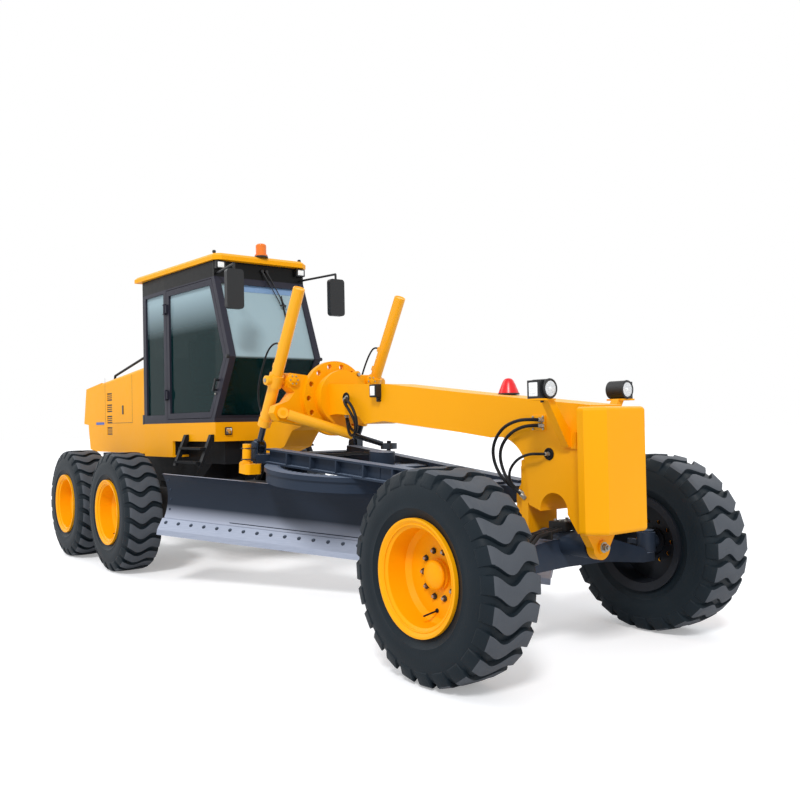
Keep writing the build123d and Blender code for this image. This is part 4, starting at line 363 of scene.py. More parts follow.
floorMaterial, tree = newMaterial("studioFloor")   # pale painted floor, lifted to white for the camera only
diffuse = addNode(tree, "BsdfDiffuse", {"Color": (0.86, 0.86, 0.87, 1)})
glow = addNode(tree, "Emission", {"Color": (1, 1, 1, 1), "Strength": 0.3})
rays = addNode(tree, "LightPath")
lifted = addNode(tree, "AddShader", links={0: diffuse, 1: glow})
closeMaterial(floorMaterial, addNode(tree, "MixShader", links={"Fac": rays.outputs["Is Camera Ray"], 1: diffuse,
                                                               2: lifted}))
floorMesh = bmesh.new()
bmesh.ops.create_grid(floorMesh, x_segments=1, y_segments=1, size=120)
floor = newPiece("studio_floor", floorMesh, [floorMaterial], None)

world = bpy.data.worlds.new("studio")
world.use_nodes = True
scene.world = world
tree = world.node_tree
tree.nodes.clear()
soft = addNode(tree, "Background", {"Color": (0.93, 0.96, 1.0, 1), "Strength": 0.66})
white = addNode(tree, "Background", {"Color": (1, 1, 1, 1), "Strength": 1.0})
rays = addNode(tree, "LightPath").outputs
seen = addNode(tree, "Math", {"operation": "MAXIMUM"}, {0: rays["Is Camera Ray"], 1: rays["Is Glossy Ray"]})
seen = addNode(tree, "Math", {"operation": "MAXIMUM"}, {0: seen, 1: rays["Is Transmission Ray"]})
mix = addNode(tree, "MixShader", links={"Fac": seen, 1: soft, 2: white})
addNode(tree, "OutputWorld", links={"Surface": mix})
lights = {"keyLight": (1.75, 12, (0.5, -0.53, 0.69)), "fillLight": (0.6, 40, (-0.76, -0.32, 0.56)),
          "farLight": (0.4, 40, (-0.1, 0.8, 0.6))}   # strength, softness in degrees, where it shines from
for name, (strength, angle, source) in lights.items():
    lamp = addObject(name, bpy.data.lights.new(name, "SUN"))
    lamp.data.energy, lamp.data.angle = strength, math.radians(angle)
    lamp.rotation_euler = Vector(source).to_track_quat("Z", "Y").to_euler()
print("camera, floor and light set")

# Tyres: 24 wavy bars on a round casing, laid out flat and bent onto the wheel
tyre = {
    "bars": 24, "barWidth": 0.116, "rootWidth": 0.132, "barSteps": 26, "edge": 0.005, "reach": 0.276, "flat": 0.03,
    "bendRadius": 0.67, "waveHalf": 0.2, "wornRadius": 0.655, "hubOut": 1.1,
    "outside": [(0.0, 0.6719), (0.08, 0.671), (0.13, 0.669), (0.165, 0.6655), (0.18, 0.661), (0.187, 0.652),
                (0.2, 0.624), (0.2105, 0.598), (0.2165, 0.574)],
    "root": [(0.0, 0.644), (0.06, 0.6435), (0.11, 0.6415), (0.145, 0.637), (0.168, 0.627), (0.186, 0.608),
             (0.199, 0.585), (0.208, 0.56)],
    "wave": [(-1.0, 0.044), (-0.25, -0.032), (0.4, 0.034), (1.0, 0.0)],
    "casing": [(0.0, 0.646), (0.06, 0.6455), (0.11, 0.6435), (0.15, 0.638), (0.178, 0.625), (0.198, 0.602),
               (0.2105, 0.573), (0.2185, 0.54), (0.2215, 0.505), (0.2215, 0.47), (0.217, 0.438),
               (0.2185, 0.433), (0.2185, 0.427), (0.214, 0.423), (0.202, 0.395), (0.19, 0.374),
               (0.188, 0.364), (0.17, 0.345), (0.1695, 0.3185), (0.145, 0.3185), (0.15, 0.36),
               (0.18, 0.43), (0.19, 0.49), (0.175, 0.57), (0.13, 0.605), (0.0, 0.62)],
}


def atLength(path, length):
    # The point of a profile that lies this far along it
    for (y0, r0), (y1, r1) in zip(path, path[1:]):
        step = math.hypot(y1 - y0, r1 - r0)
        if length <= step:
            share = length / step
            return y0 + (y1 - y0) * share, r0 + (r1 - r0) * share
        length -= step
    return path[-1]


def waveAt(across):
    for (u0, w0), (u1, w1) in zip(tyre["wave"], tyre["wave"][1:]):
        if across <= u1:
            share = (1 - math.cos(math.pi * max(across - u0, 0) / (u1 - u0))) / 2
            return w0 + (w1 - w0) * share
    return tyre["wave"][-1][1]


def tyreBar():
    # One bar, flat: x across the tyre, y along the tread, z up from the root
    bar = bmesh.new()
    bmesh.ops.create_cube(bar, size=1.0)
    long = [e for e in bar.edges if abs(e.verts[0].co.x - e.verts[1].co.x) > 0.5]
    bmesh.ops.subdivide_edges(bar, edges=long, cuts=tyre["barSteps"] - 1, use_grid_fill=True)
    for v in bar.verts:
        top = v.co.z > 0
        v.co.y *= tyre["barWidth"] if top else tyre["rootWidth"]
        v.co.x *= 2 * tyre["reach"] if top else 2 * tyre["reach"] + 0.01
        v.co.z = tyre["flat"] if top else 0.0
    rims = [e for e in bar.edges if all(v.co.z > 0 for v in e.verts) and len(e.link_faces) == 2
            and e.calc_face_angle(0) > 0.5]
    bevelEdges(bar, rims, tyre["edge"])
    return bar


def tyreMesh(side):
    # Built about the wheel's own centre, with its outer side at side * y
    mesh = bmesh.new()
    profile = [(r, y) for y, r in tyre["casing"]] + [(r, -y) for y, r in reversed(tyre["casing"][1:-1])]
    joinInto(mesh, spunShape(profile, steps=120), Matrix.Rotation(math.radians(-90), 4, "X"))
    pattern = tyreBar()
    for number in range(tyre["bars"]):
        bar = pattern.copy()
        for v in bar.verts:
            sign = -1 if v.co.x < 0 else 1
            outY, outR = atLength(tyre["outside"], abs(v.co.x))
            inY, inR = atLength(tyre["root"], abs(v.co.x))
            share = min(max(v.co.z / tyre["flat"], 0), 1)
            y, r = inY + (outY - inY) * share, inR + (outR - inR) * share
            tangent = v.co.y + waveAt(max(-1, min(1, sign * abs(v.co.x) / tyre["waveHalf"])))
            angle = math.tau * number / tyre["bars"] + tangent / tyre["bendRadius"]
            v.co = (r * math.cos(angle), -side * sign * y, r * math.sin(angle))
        bar.normal_update()
        for face in bar.faces:   # only the worn top is grey with dust, the flanks stay black
            middle = face.calc_center_median()
            radius = math.hypot(middle.x, middle.z)
            outward = abs(face.normal.x * middle.x + face.normal.z * middle.z) / radius
            face.material_index = 1 if radius > tyre["wornRadius"] and outward > 0.7 else 0
        joinInto(mesh, bar, None, None)
    pattern.free()
    bmesh.ops.recalc_face_normals(mesh, faces=mesh.faces)
    return mesh


wheels = {}
for where in ("front", "middle", "rear"):
    for sideName, side in sides.items():
        name = where + "_" + sideName
        low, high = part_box("rim_" + name)
        hub = Vector(((low.x + high.x) / 2, side * tyre["hubOut"], (low.z + high.z) / 2))
        wheels[name] = (hub, Vector((0, side, 0)))
        low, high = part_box("tyre_" + name)
        mesh = tyreMesh(side)
        bmesh.ops.translate(mesh, vec=(low + high) / 2, verts=mesh.verts)
        piece = newPiece("tyre_visual_" + name, mesh, [wallRubber, treadRubber], "wheel_" + name, sharp=30)
        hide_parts("tyre_" + name)
print("tyres made")

# Wheel nuts and their studs on each hub
nuts = {"count": 10, "ring": 0.15, "face": 0.011, "across": 0.021, "height": 0.016, "stud": 0.01, "studHeight": 0.03}
for name, (hub, out) in wheels.items():
    mesh = bmesh.new()
    for number in range(nuts["count"]):
        foot = hub + spoke(math.tau * number / nuts["count"]) * nuts["ring"] + out * nuts["face"]
        addRod(mesh, foot, foot + out * nuts["height"], nuts["across"], 6, 0.002)
        addRod(mesh, foot, foot + out * nuts["studHeight"], nuts["stud"], 14, 0.0015, 1)
    piece = newPiece("wheel_nuts_" + name, mesh, [chassisBlack, zincSteel], "wheel_" + name)
print("wheel nuts made")

# Rims: rolled lip rings and a weld line in the dish (radius, tube, face), the domed hub cap and the valve
rimTrim = {"rings": ((0.356, 0.0075, 0.213), (0.327, 0.006, 0.204), (0.296, 0.004, 0.016)), "dome": 0.093,
           "domeHeight": 0.034, "domeFace": 0.06, "domeBack": -0.004, "valveAngle": -97, "valveRing": 0.232,
           "valveFoot": 0.012, "valveLength": 0.115, "valveLean": 0.02}
for name, (hub, out) in wheels.items():
    mesh = bmesh.new()
    for radius, tube, face in rimTrim["rings"]:
        joinInto(mesh, ringShape(radius, tube), facing(hub + out * face, out))
    steps = [math.radians(10 * n) for n in range(10)]
    dome = [(rimTrim["dome"] * math.cos(a), rimTrim["domeHeight"] * math.sin(a)) for a in steps]
    dome += [(0, rimTrim["domeBack"]), (rimTrim["dome"], rimTrim["domeBack"])]
    joinInto(mesh, spunShape(dome, 48), facing(hub + out * rimTrim["domeFace"], out))
    lean = spoke(math.radians(rimTrim["valveAngle"]))
    foot = hub + lean * rimTrim["valveRing"] + out * rimTrim["valveFoot"]
    addRod(mesh, foot, foot + out * rimTrim["valveLength"] + lean * rimTrim["valveLean"], 0.006, 12, 0.001, 1)
    addRod(mesh, foot - out * 0.004, foot + out * 0.01, 0.014, 16, 0.002, 1)
    piece = newPiece("rim_trim_" + name, mesh, [rimYellow, hoseRubber], "wheel_" + name)
print("rim trim made")

# Lamps: lenses and reflectors in the housings, the red light on the beam
headLamp = {"at": (4.156, 0.4, 1.828), "rim": (0.058, 0.009), "lens": 0.052, "bulb": 0.013, "nut": (4.086, 0.4, 1.752),
            "bowl": [(0.012, -0.002), (0.052, 0.0015), (0.055, 0.0015), (0.055, -0.001), (0.012, -0.004)],
            "marker": (4.088, 0.484, 1.824), "markerSize": (0.072, 0.09, 0.01), "rib": (0.06, 0.006, 0.003),
            "ribs": (-0.024, -0.008, 0.008, 0.024)}


def lensShape(radius, bulge, thick=0.004):
    # A shallow dome on a flat back
    steps = [math.radians(90 - 12 * n) for n in range(7)]
    wide, low = math.cos(steps[-1]), math.sin(steps[-1])
    top = [(radius * math.cos(a) / wide, bulge * (math.sin(a) - low) / (1 - low)) for a in steps]
    return spunShape(top + [(radius, -thick), (0, -thick)], 48)


mesh = bmesh.new()
for side in (-1, 1):
    at, marker, out = onSide(headLamp["at"], side), onSide(headLamp["marker"], side), Vector((0, side, 0))
    joinInto(mesh, ringShape(*headLamp["rim"], 56), facing(at, forward))
    joinInto(mesh, spunShape(headLamp["bowl"], 56), facing(at + forward * 0.0025, forward), 1)
    joinInto(mesh, lensShape(headLamp["bulb"], 0.008), facing(at + forward * 0.002, forward), 2)
    joinInto(mesh, lensShape(headLamp["lens"], 0.007, 0.001), facing(at + forward * 0.005, forward), 3)
    addBox(mesh, headLamp["markerSize"], 0.004, 3, facing(marker, out), 2)
    for step in headLamp["ribs"]:
        addBox(mesh, headLamp["rib"], 0.0012, 1, facing(marker + Vector((0, side * 0.005, step)), out), 3)
    addDisc(mesh, 0.012, 0.026, 6, 0.002, moved(onSide(headLamp["nut"], side)))
piece = newPiece("head_lamp_lenses", mesh, [mouldedBlack, lampReflector, lampWhite, lampGlass], "front_frame")

beamLight = {"at": (3.305, 0.1, 1.822),
             "foot": [(0, 0), (0.082, 0), (0.082, 0.01), (0.074, 0.014), (0.074, 0.018), (0, 0.018)],
             "cone": [(0, 0.012), (0.078, 0.012), (0.072, 0.03), (0.052, 0.08), (0.04, 0.106), (0.03, 0.118),
                      (0.016, 0.125), (0, 0.127)]}
mesh = bmesh.new()
joinInto(mesh, spunShape(beamLight["foot"], 40), moved(beamLight["at"]))
joinInto(mesh, spunShape(beamLight["cone"], 40), moved(beamLight["at"]), 1)
piece = newPiece("beam_warning_light", mesh, [mouldedBlack, lampRed], "front_frame")

workLamp = {"at": (2.008, -0.2235, 1.905), "rim": (0.088, 0.108, 0.008), "lens": (0.064, 0.082, 0.006),
            "screwX": 2.04, "screwY": (-0.16, -0.205), "screwZ": (1.839, 1.819)}
mesh = bmesh.new()
addBox(mesh, workLamp["rim"], 0.006, 3, facing(workLamp["at"], rightward))
addBox(mesh, workLamp["lens"], 0.003, 2, facing(Vector(workLamp["at"]) + rightward * 0.005, rightward), 1)
for z in workLamp["screwZ"]:
    start, end = [(workLamp["screwX"], y, z) for y in workLamp["screwY"]]
    addRod(mesh, start, end, 0.011, 6, 0.002)
piece = newPiece("work_lamp_lens", mesh, [mouldedBlack, lampWhite], "front_frame")

cabLamps = {"roof": (-0.271, 0.5, 3.345), "roofLens": (0.074, 0.058, 0.01), "base": (-0.337, 0.41, 1.57),
            "baseRim": (0.08, 0.084, 0.026), "baseLens": (0.062, 0.062, 0.008)}
mesh = bmesh.new()
for side in (-1, 1):
    addBox(mesh, cabLamps["roofLens"], 0.006, 3, facing(onSide(cabLamps["roof"], side), forward), 1)
    at = onSide(cabLamps["base"], side)
    addBox(mesh, cabLamps["baseRim"], 0.008, 3, facing(at, forward))
    addBox(mesh, cabLamps["baseLens"], 0.004, 2, facing(at + forward * 0.014, forward), 2)
piece = newPiece("cab_lamp_lenses", mesh, [mouldedBlack, lampWhite, lampReflector], "chassis")
print("lamps made")

# Hoses: each one smooth spline; body, diameter, length, points
liftHose = [(1.052, -0.58, 2.373), (0.995, -0.58, 2.404), (0.872, -0.6, 2.347), (0.747, -0.6, 2.164),
            (0.658, -0.6, 1.962), (0.65, -0.58, 1.784), (0.7, -0.58, 1.739)]
hoses = {
    "beam_hose_upper": ("front_frame", 0.024, 0.95, [
        (3.881, -0.166, 1.624), (3.85, -0.225, 1.63), (3.7, -0.232, 1.628), (3.54, -0.228, 1.57),
        (3.44, -0.222, 1.44), (3.45, -0.21, 1.3), (3.54, -0.19, 1.17), (3.621, -0.112, 1.1)]),
    "beam_hose_lower": ("front_frame", 0.024, 0.85, [
        (3.88, -0.166, 1.585), (3.84, -0.215, 1.59), (3.72, -0.222, 1.578), (3.59, -0.216, 1.52),
        (3.5, -0.21, 1.41), (3.51, -0.198, 1.28), (3.6, -0.195, 1.15), (3.68, -0.148, 1.08)]),
    "gland_hose": ("front_frame", 0.02, 0.59, [
        (3.928, -0.166, 1.391), (3.915, -0.225, 1.393), (3.8, -0.232, 1.392), (3.68, -0.225, 1.35),
        (3.59, -0.215, 1.26), (3.6, -0.2, 1.16), (3.66, -0.146, 1.11)]),
    "saddle_hose_upper": ("front_frame", 0.026, 0.9, [
        (1.54, -0.166, 1.865), (1.6, -0.225, 1.85), (1.73, -0.245, 1.78), (1.79, -0.235, 1.64),
        (1.72, -0.21, 1.53), (1.59, -0.17, 1.51), (1.47, -0.115, 1.58), (1.43, -0.1, 1.708)]),
    "saddle_hose_lower": ("front_frame", 0.026, 0.8, [
        (1.512, -0.166, 1.85), (1.56, -0.222, 1.825), (1.67, -0.24, 1.75), (1.73, -0.215, 1.64),
        (1.67, -0.17, 1.56), (1.54, -0.11, 1.56), (1.42, -0.07, 1.61), (1.38, -0.06, 1.71)]),
    "lift_hose_right": ("lift_barrel_right", 0.018, 0.865, liftHose),
    "lift_hose_left": ("lift_barrel_left", 0.018, 0.865, [(x, -y, z) for x, y, z in liftHose]),
    "swivel_hose_right": ("drawbar", 0.022, 1.04, [
        (1.712, -0.045, 1.345), (1.6, -0.06, 1.36), (1.4, -0.08, 1.345), (1.1, -0.09, 1.33),
        (0.85, -0.085, 1.335), (0.676, -0.08, 1.31)]),
    "swivel_hose_left": ("drawbar", 0.022, 1.04, [
        (1.712, 0.045, 1.345), (1.6, 0.05, 1.36), (1.4, 0.02, 1.34), (1.1, -0.03, 1.325),
        (0.85, -0.035, 1.335), (0.676, -0.03, 1.31)]),
}
for name, (body, diameter, length, points) in hoses.items():
    data = bpy.data.curves.new(name, "CURVE")
    data.dimensions = "3D"
    data.bevel_depth = diameter / 2
    data.bevel_resolution = 4
    data.resolution_u = 10
    data.use_fill_caps = True
    line = data.splines.new("NURBS")
    line.points.add(len(points) - 1)
    for point, place in zip(line.points, points):
        point.co = (*place, 1)
    line.order_u = 3
    line.use_endpoint_u = True
    data.materials.append(hoseRubber)
    piece = addObject(name, data)
    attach(piece, body)
print("hoses laid")

# Fittings where the hoses leave the beam, with the bolted plate and the rubber glands (x, z, radius)
fitting = {"plate": (3.845, -0.1685, 1.605), "plateSize": (0.12, 0.008, 0.11), "bolts": (0.046, 0.0414),
           "glands": ((3.928, 1.391, 0.034), (1.526, 1.858, 0.044)), "wall": -0.166}
mesh = bmesh.new()
addBox(mesh, fitting["plateSize"], 0.003, 2, moved(fitting["plate"]))
for x in (-1, 1):
    for z in (-1, 1):
        at = Vector(fitting["plate"]) + Vector((x * fitting["bolts"][0], -0.003, z * fitting["bolts"][1]))
        addRod(mesh, at, at + rightward * 0.01, 0.0085, 6, 0.0015, 1)
for body, diameter, length, points in hoses.values():
    if body == "front_frame":
        for end, beyond in ((0, 1), (-1, -2)):
            start = Vector(points[end])
            out = (Vector(points[beyond]) - start).normalized()
            addRod(mesh, start - out * 0.012, start + out * 0.014, diameter * 0.82, 6, 0.0015, 1)
            addRod(mesh, start + out * 0.012, start + out * 0.034, diameter * 0.66, 20, 0.001, 1)
for x, z, radius in fitting["glands"]:
    joinInto(mesh, ringShape(radius, 0.009, 40), facing((x, fitting["wall"], z), rightward), 2)
    addDisc(mesh, radius, 0.006, 40, 0.001, facing((x, fitting["wall"] - 0.001, z), rightward), 2)
piece = newPiece("beam_fittings", mesh, [yellow, zincSteel, sealRubber], "front_frame")
print("fittings made")

# Saddle: bearing caps on the arms, and the lock pin in the index disc
saddle = {"cap": (1.066, 0.452, 2.043), "capRadius": 0.056, "capBolts": 6, "boltRing": 0.041,
          "pin": (1.155, 0.215, 2.1), "pinHead": (1.2, 0.215, 2.1)}
mesh = bmesh.new()
for side in (-1, 1):
    middle = onSide(saddle["cap"], side)
    addDisc(mesh, saddle["capRadius"], 0.03, 48, 0.004, facing(middle + forward * 0.012, forward))
    addDisc(mesh, saddle["capRadius"] * 0.45, 0.012, 32, 0.003, facing(middle + forward * 0.032, forward))
    for number in range(saddle["capBolts"]):
        angle = math.tau * number / saddle["capBolts"]
        at = middle + Vector((0.026, math.cos(angle) * saddle["boltRing"], math.sin(angle) * saddle["boltRing"]))
        addRod(mesh, at, at + forward * 0.008, 0.007, 6, 0.001, 1)
addDisc(mesh, 0.036, 0.07, 32, 0.005, facing(saddle["pin"], forward))
addDisc(mesh, 0.018, 0.03, 6, 0.003, facing(saddle["pinHead"], forward), 1)
piece = newPiece("saddle_bolts", mesh, [yellow, zincSteel], "front_frame")

# Lift cylinders: trunnion ends (from, to, radius, sides, bevel, slot), port blocks and pipes along the barrels,
# collars (radius, steps, from, to, slot)
lift = {"pin": (0.966, 0.58, 2.043), "axis": (-0.4853, 0, -0.8744),
        "ends": ((0.635, 0.69, 0.044, 40, 0.004, 0), (0.686, 0.7, 0.02, 6, 0.002, 1)),
        "pipeOff": 0.07, "pipe": 0.009, "pipeEnds": (-0.33, -0.12), "block": 0.036,
        "blocks": ((-0.355, -0.305), (-0.145, -0.095), (0.375, 0.415)),
        "collars": ((0.048, 48, -0.9185, -0.9165, 0), (0.037, 40, 0.479, 0.481, 2))}
for sideName, side in sides.items():
    mesh = bmesh.new()
    pin = onSide(lift["pin"], side)
    down = Vector(lift["axis"])
    line = pin - Vector((-down.z, 0, down.x)) * lift["pipeOff"]
    for near, far, *rod in lift["ends"]:
        addRod(mesh, (pin.x, side * near, pin.z), (pin.x, side * far, pin.z), *rod)
    top, foot = lift["pipeEnds"]
    addRod(mesh, line + down * top, line + down * foot, lift["pipe"], 16, 0.001)
    for top, foot in lift["blocks"]:
        addBox(mesh, (lift["block"], lift["block"], foot - top), 0.004, 2, along(line + down * top, line + down * foot))
    for radius, steps, top, foot, slot in lift["collars"]:
        joinInto(mesh, ringShape(radius, 0.006, steps), along(pin + down * top, pin + down * foot), slot)
    piece = newPiece("lift_barrel_trim_" + sideName, mesh, [cylinderHighlightYellow, zincSteel, sealRubber],
                     "lift_barrel_" + sideName)
print("saddle and lift trim made")

# Blade: bolts through the cutting edge and the end plates, seated on the plate's own face
blade = {"centre": Vector((1.24397, 0, 1.23419)), "along": Vector((0.85961, 0.50603, -0.07067)), "reach": 1.4,
         "across": Vector((-0.50433, 0.86251, 0.04146)), "up": Vector((0.0819, 0, 0.9966)), "spacing": 0.1524,
         "row": -0.7, "from": -1.86, "to": 1.95, "head": [(0, 0.009), (0.012, 0.0072), (0.021, -0.001), (0, -0.002)],
         "ends": (-1.885, 1.995), "endRows": (-0.28, -0.38, -0.48, -0.58)}


def onBlade(node, shift, height):
    # Where a line from in front of the blade meets its face, and the face's own direction
    start = blade["centre"] + blade["along"] * shift + blade["up"] * height - blade["across"] * blade["reach"]
    found, at, normal, face = frame["nodes"][node].ray_cast(start, blade["across"])
    return found and (at, normal)


mesh = bmesh.new()
shift = blade["from"]
while shift < blade["to"]:
    spot = onBlade("cutting_edge", shift, blade["row"])
    if spot:
        joinInto(mesh, spunShape(blade["head"], 24), facing(*spot))
    shift += blade["spacing"]
for end in blade["ends"]:
    for height in blade["endRows"]:
        spot = onBlade("moldboard", end, height)
        if spot:
            addDisc(mesh, 0.012, 0.012, 6, 0.0015, facing(*spot))
piece = newPiece("blade_bolts", mesh, [slate], "blade")
print("blade bolts made")

# Seat: a bellows pedestal, a moulded shell and crowned cushions with sewn channels
seat = {"x": -1.413, "floor": 1.692, "folds": 6, "foldHeight": 0.046, "foldWidth": (0.32, 0.36),
        "pan": (0.46, 0.46, 0.045), "panHeight": 2.01, "shell": (0.03, 0.45, 0.6), "shellAt": (-0.048, 0, 0.27),
        "armHeight": 2.345, "armOut": 0.262, "arm": (0.29, 0.052, 0.04)}
upright = moved((-1.607, 0, 2.12)) @ Matrix.Rotation(math.radians(-6.6), 4, "Y")   # the back, leaning
faceForward = Matrix.Rotation(math.radians(90), 4, "Y") @ Matrix.Rotation(math.radians(180), 4, "Z")
pads = {   # size, place, crown, pull, channels across, their depth
    "seat_cushion": ((0.45, 0.46, 0.105), moved((-1.398, 0, 2.095)), 0.018, 0.03, (-0.5, 0.5), 0.01),
    "seat_back_pad": ((0.51, 0.44, 0.088), upright @ moved((0.012, 0, 0.285)) @ faceForward, 0.016, 0.03,
                      (-0.55, 0.55), 0.009),
    "seat_head_pad": ((0.088, 0.27, 0.07), upright @ moved((0.012, 0, 0.598)) @ faceForward, 0.014, 0.02, (), 0),
}


def padShape(size, crown, pull, channels, depth):
    # A stuffed pad, face up: swollen in the middle, pulled in between corners, sewn down along the channels
    part = bmesh.new()
    bmesh.ops.create_cube(part, size=2.0)
    bmesh.ops.subdivide_edges(part, edges=part.edges[:], cuts=17, use_grid_fill=True)
    for v in part.verts:
        u = v.co.copy()
        swell = (1 - u.x ** 4) * (1 - u.y ** 4)
        sewn = sum(math.exp(-((u.y - c) / 0.07) ** 2) for c in channels) * (1 - u.x ** 6)
        rounding = 1 - 0.1 * abs(u.z) ** 4
        v.co.x = u.x * size[0] / 2 * (1 - pull * (1 - u.y ** 2)) * rounding
        v.co.y = u.y * size[1] / 2 * (1 - pull * (1 - u.x ** 2)) * rounding
        v.co.z = u.z * (size[2] / 2 - crown * (1 - swell)) - (depth * sewn if u.z > 0.5 else 0)
    return part


for name, (size, place, *form) in pads.items():
    mesh = bmesh.new()
    joinInto(mesh, padShape(size, *form), place)
    piece = newPiece(name, mesh, [seatCloth], "chassis", sharp=80)
    smoother = piece.modifiers.new("smoother", "SUBSURF")
    smoother.levels = smoother.render_levels = 1
    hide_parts("cab_seat")
mesh = bmesh.new()
for fold in range(seat["folds"]):
    wide, tall = seat["foldWidth"][fold % 2], seat["foldHeight"]
    addBox(mesh, (wide, wide, tall), 0.014, 3, moved((seat["x"], 0, seat["floor"] + (fold + 0.5) * tall)))
addBox(mesh, seat["pan"], 0.015, 3, moved((seat["x"], 0, seat["panHeight"])))
addBox(mesh, seat["shell"], 0.012, 3, upright @ moved(seat["shellAt"]))
for side in (-1, 1):
    start, end = upright @ Vector((-0.03, side * 0.07, 0.54)), upright @ Vector((-0.005, side * 0.07, 0.6))
    addRod(mesh, start, end, 0.007, 12, 0.001, 1)   # post of the head pad
    out, high = side * seat["armOut"], seat["armHeight"]
    addBox(mesh, seat["arm"], 0.014, 4, moved((seat["x"] - 0.03, out, high)))
    addRod(mesh, (-1.64, side * 0.2, high - 0.02), (-1.56, out, high - 0.005), 0.016, 14, 0.002)
piece = newPiece("seat_frame", mesh, [mouldedBlack, zincSteel], "chassis")
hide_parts("cab_seat")

# Control levers in a pod each side of the steering column
pods = {"at": (-0.778, 0.172, 2.24), "size": (0.13, 0.13, 0.06), "levers": 4, "pitch": 0.03, "footUp": 0.026,
        "knobX": -0.875, "knobZ": 2.47, "knob": 0.015,
        "shape": [(0, -1.2), (0.45, -1.0), (0.85, -0.4), (1.0, 0.15), (0.8, 0.75), (0.4, 1.0), (0, 1.08)]}
mesh = bmesh.new()
for side in (-1, 1):
    pod = onSide(pods["at"], side)
    addBox(mesh, pods["size"], 0.012, 3, moved(pod))
    for number in range(pods["levers"]):
        foot = pod + Vector((0.01, side * pods["pitch"] * (number - 1.5), pods["footUp"]))
        tip = Vector((pods["knobX"] + 0.012 * (number % 2), foot.y * 1.08, pods["knobZ"]))
        addRod(mesh, foot, foot + (tip - foot).normalized() * 0.03, 0.012, 16, 0.003)
        addRod(mesh, foot, tip, 0.005, 12, 0.001, 1)
        knob = spunShape(pods["shape"], 20, closed=False)
        bmesh.ops.scale(knob, vec=(pods["knob"], pods["knob"], pods["knob"] * 1.5), verts=knob.verts)
        joinInto(mesh, knob, facing(tip, tip - foot))
piece = newPiece("control_levers", mesh, [mouldedBlack, brightSteel], "chassis")
print("seat and levers made")

# Wipers: two parallel arms down from the header (top y, foot y, foot z) to a blade that lies on the front glass
wiper = {"glassX": -0.263, "glassZ": 3.0, "slope": -0.386, "arms": ((0.02, 0.19, 2.965), (0.075, 0.25, 2.925)),
         "headerX": -0.328, "headerZ": 3.325, "armReach": 0.42, "shroud": (0.016, 0.012, 0.15), "bladeY": 0.232,
         "bladeZ": (3.06, 2.64), "clip": (0.02, 0.075, 0.02), "clipY": 0.222, "clipZ": 2.945}


def onGlass(y, z, off):
    return Vector((wiper["glassX"] + (z - wiper["glassZ"]) * wiper["slope"] + off, y, z))


mesh = bmesh.new()
for top, foot, z in wiper["arms"]:
    pivot = Vector((wiper["headerX"], top, wiper["headerZ"]))
    addDisc(mesh, 0.02, 0.034, 28, 0.004, facing(pivot + forward * 0.015, forward))
    addRod(mesh, pivot + forward * 0.026, onGlass(foot, z, 0.034), 0.0055, 12, 0.001)
    end = onGlass(top + (foot - top) * wiper["armReach"], 3.16, 0.046) + Vector((0, 0, 0.01))
    addBox(mesh, wiper["shroud"], 0.004, 2, along(pivot + Vector((0.026, 0, -0.01)), end))
start, end = [onGlass(wiper["bladeY"], z, 0.024) for z in wiper["bladeZ"]]
length = (start - end).length
addBox(mesh, (0.01, 0.014, length), 0.003, 2, along(end, start))
addBox(mesh, (0.005, 0.02, length * 0.99), 0.0015, 1, moved((-0.012, 0, -0.004)) @ along(end, start), 1)
addBox(mesh, wiper["clip"], 0.005, 2, moved(onGlass(wiper["clipY"], wiper["clipZ"], 0.034)))
piece = newPiece("wipers", mesh, [mouldedBlack, sealRubber], "chassis")

# Cab fittings: bar on the far side, knobs at the pillars, aerial knobs, mirror glass, beacon foot
cabTrim = {"bar": (-0.345, 0.635, 2.52), "barSize": (0.04, 0.056, 0.72), "barEnds": (2.24, 2.8), "barFoot": 0.575,
           "kink": (-0.01, 0.575, 2.345), "mirror": (0.2165, 0.62, 3.002), "mirrorSize": (0.16, 0.36, 0.006),
           "aerial": (-0.36, 0.535, 3.47), "beacon": (-0.29, 0, 3.47),
           "knob": [(0, -0.006), (0.01, -0.006), (0.01, 0.008), (0.019, 0.016), (0.021, 0.028), (0.015, 0.04),
                    (0, 0.044)],
           "foot": [(0, -0.002), (0.076, -0.002), (0.076, 0.01), (0.068, 0.018), (0, 0.018)]}
mesh = bmesh.new()
x, y, z = cabTrim["bar"]
addBox(mesh, cabTrim["barSize"], 0.018, 4, moved(cabTrim["bar"]))
for z in cabTrim["barEnds"]:
    addRod(mesh, (x, cabTrim["barFoot"], z), (x, y, z), 0.014, 16, 0.002)
for side in (-1, 1):
    addDisc(mesh, 0.02, 0.03, 24, 0.006, facing(onSide(cabTrim["kink"], side), (0, side, 0)))
    joinInto(mesh, spunShape(cabTrim["knob"], 24), moved(onSide(cabTrim["aerial"], side)))
    addBox(mesh, cabTrim["mirrorSize"], 0.003, 2, facing(onSide(cabTrim["mirror"], side), -forward), 1)
joinInto(mesh, spunShape(cabTrim["foot"], 48), moved(cabTrim["beacon"]))
piece = newPiece("cab_fittings", mesh, [mouldedBlack, mirrorGlass], "chassis")

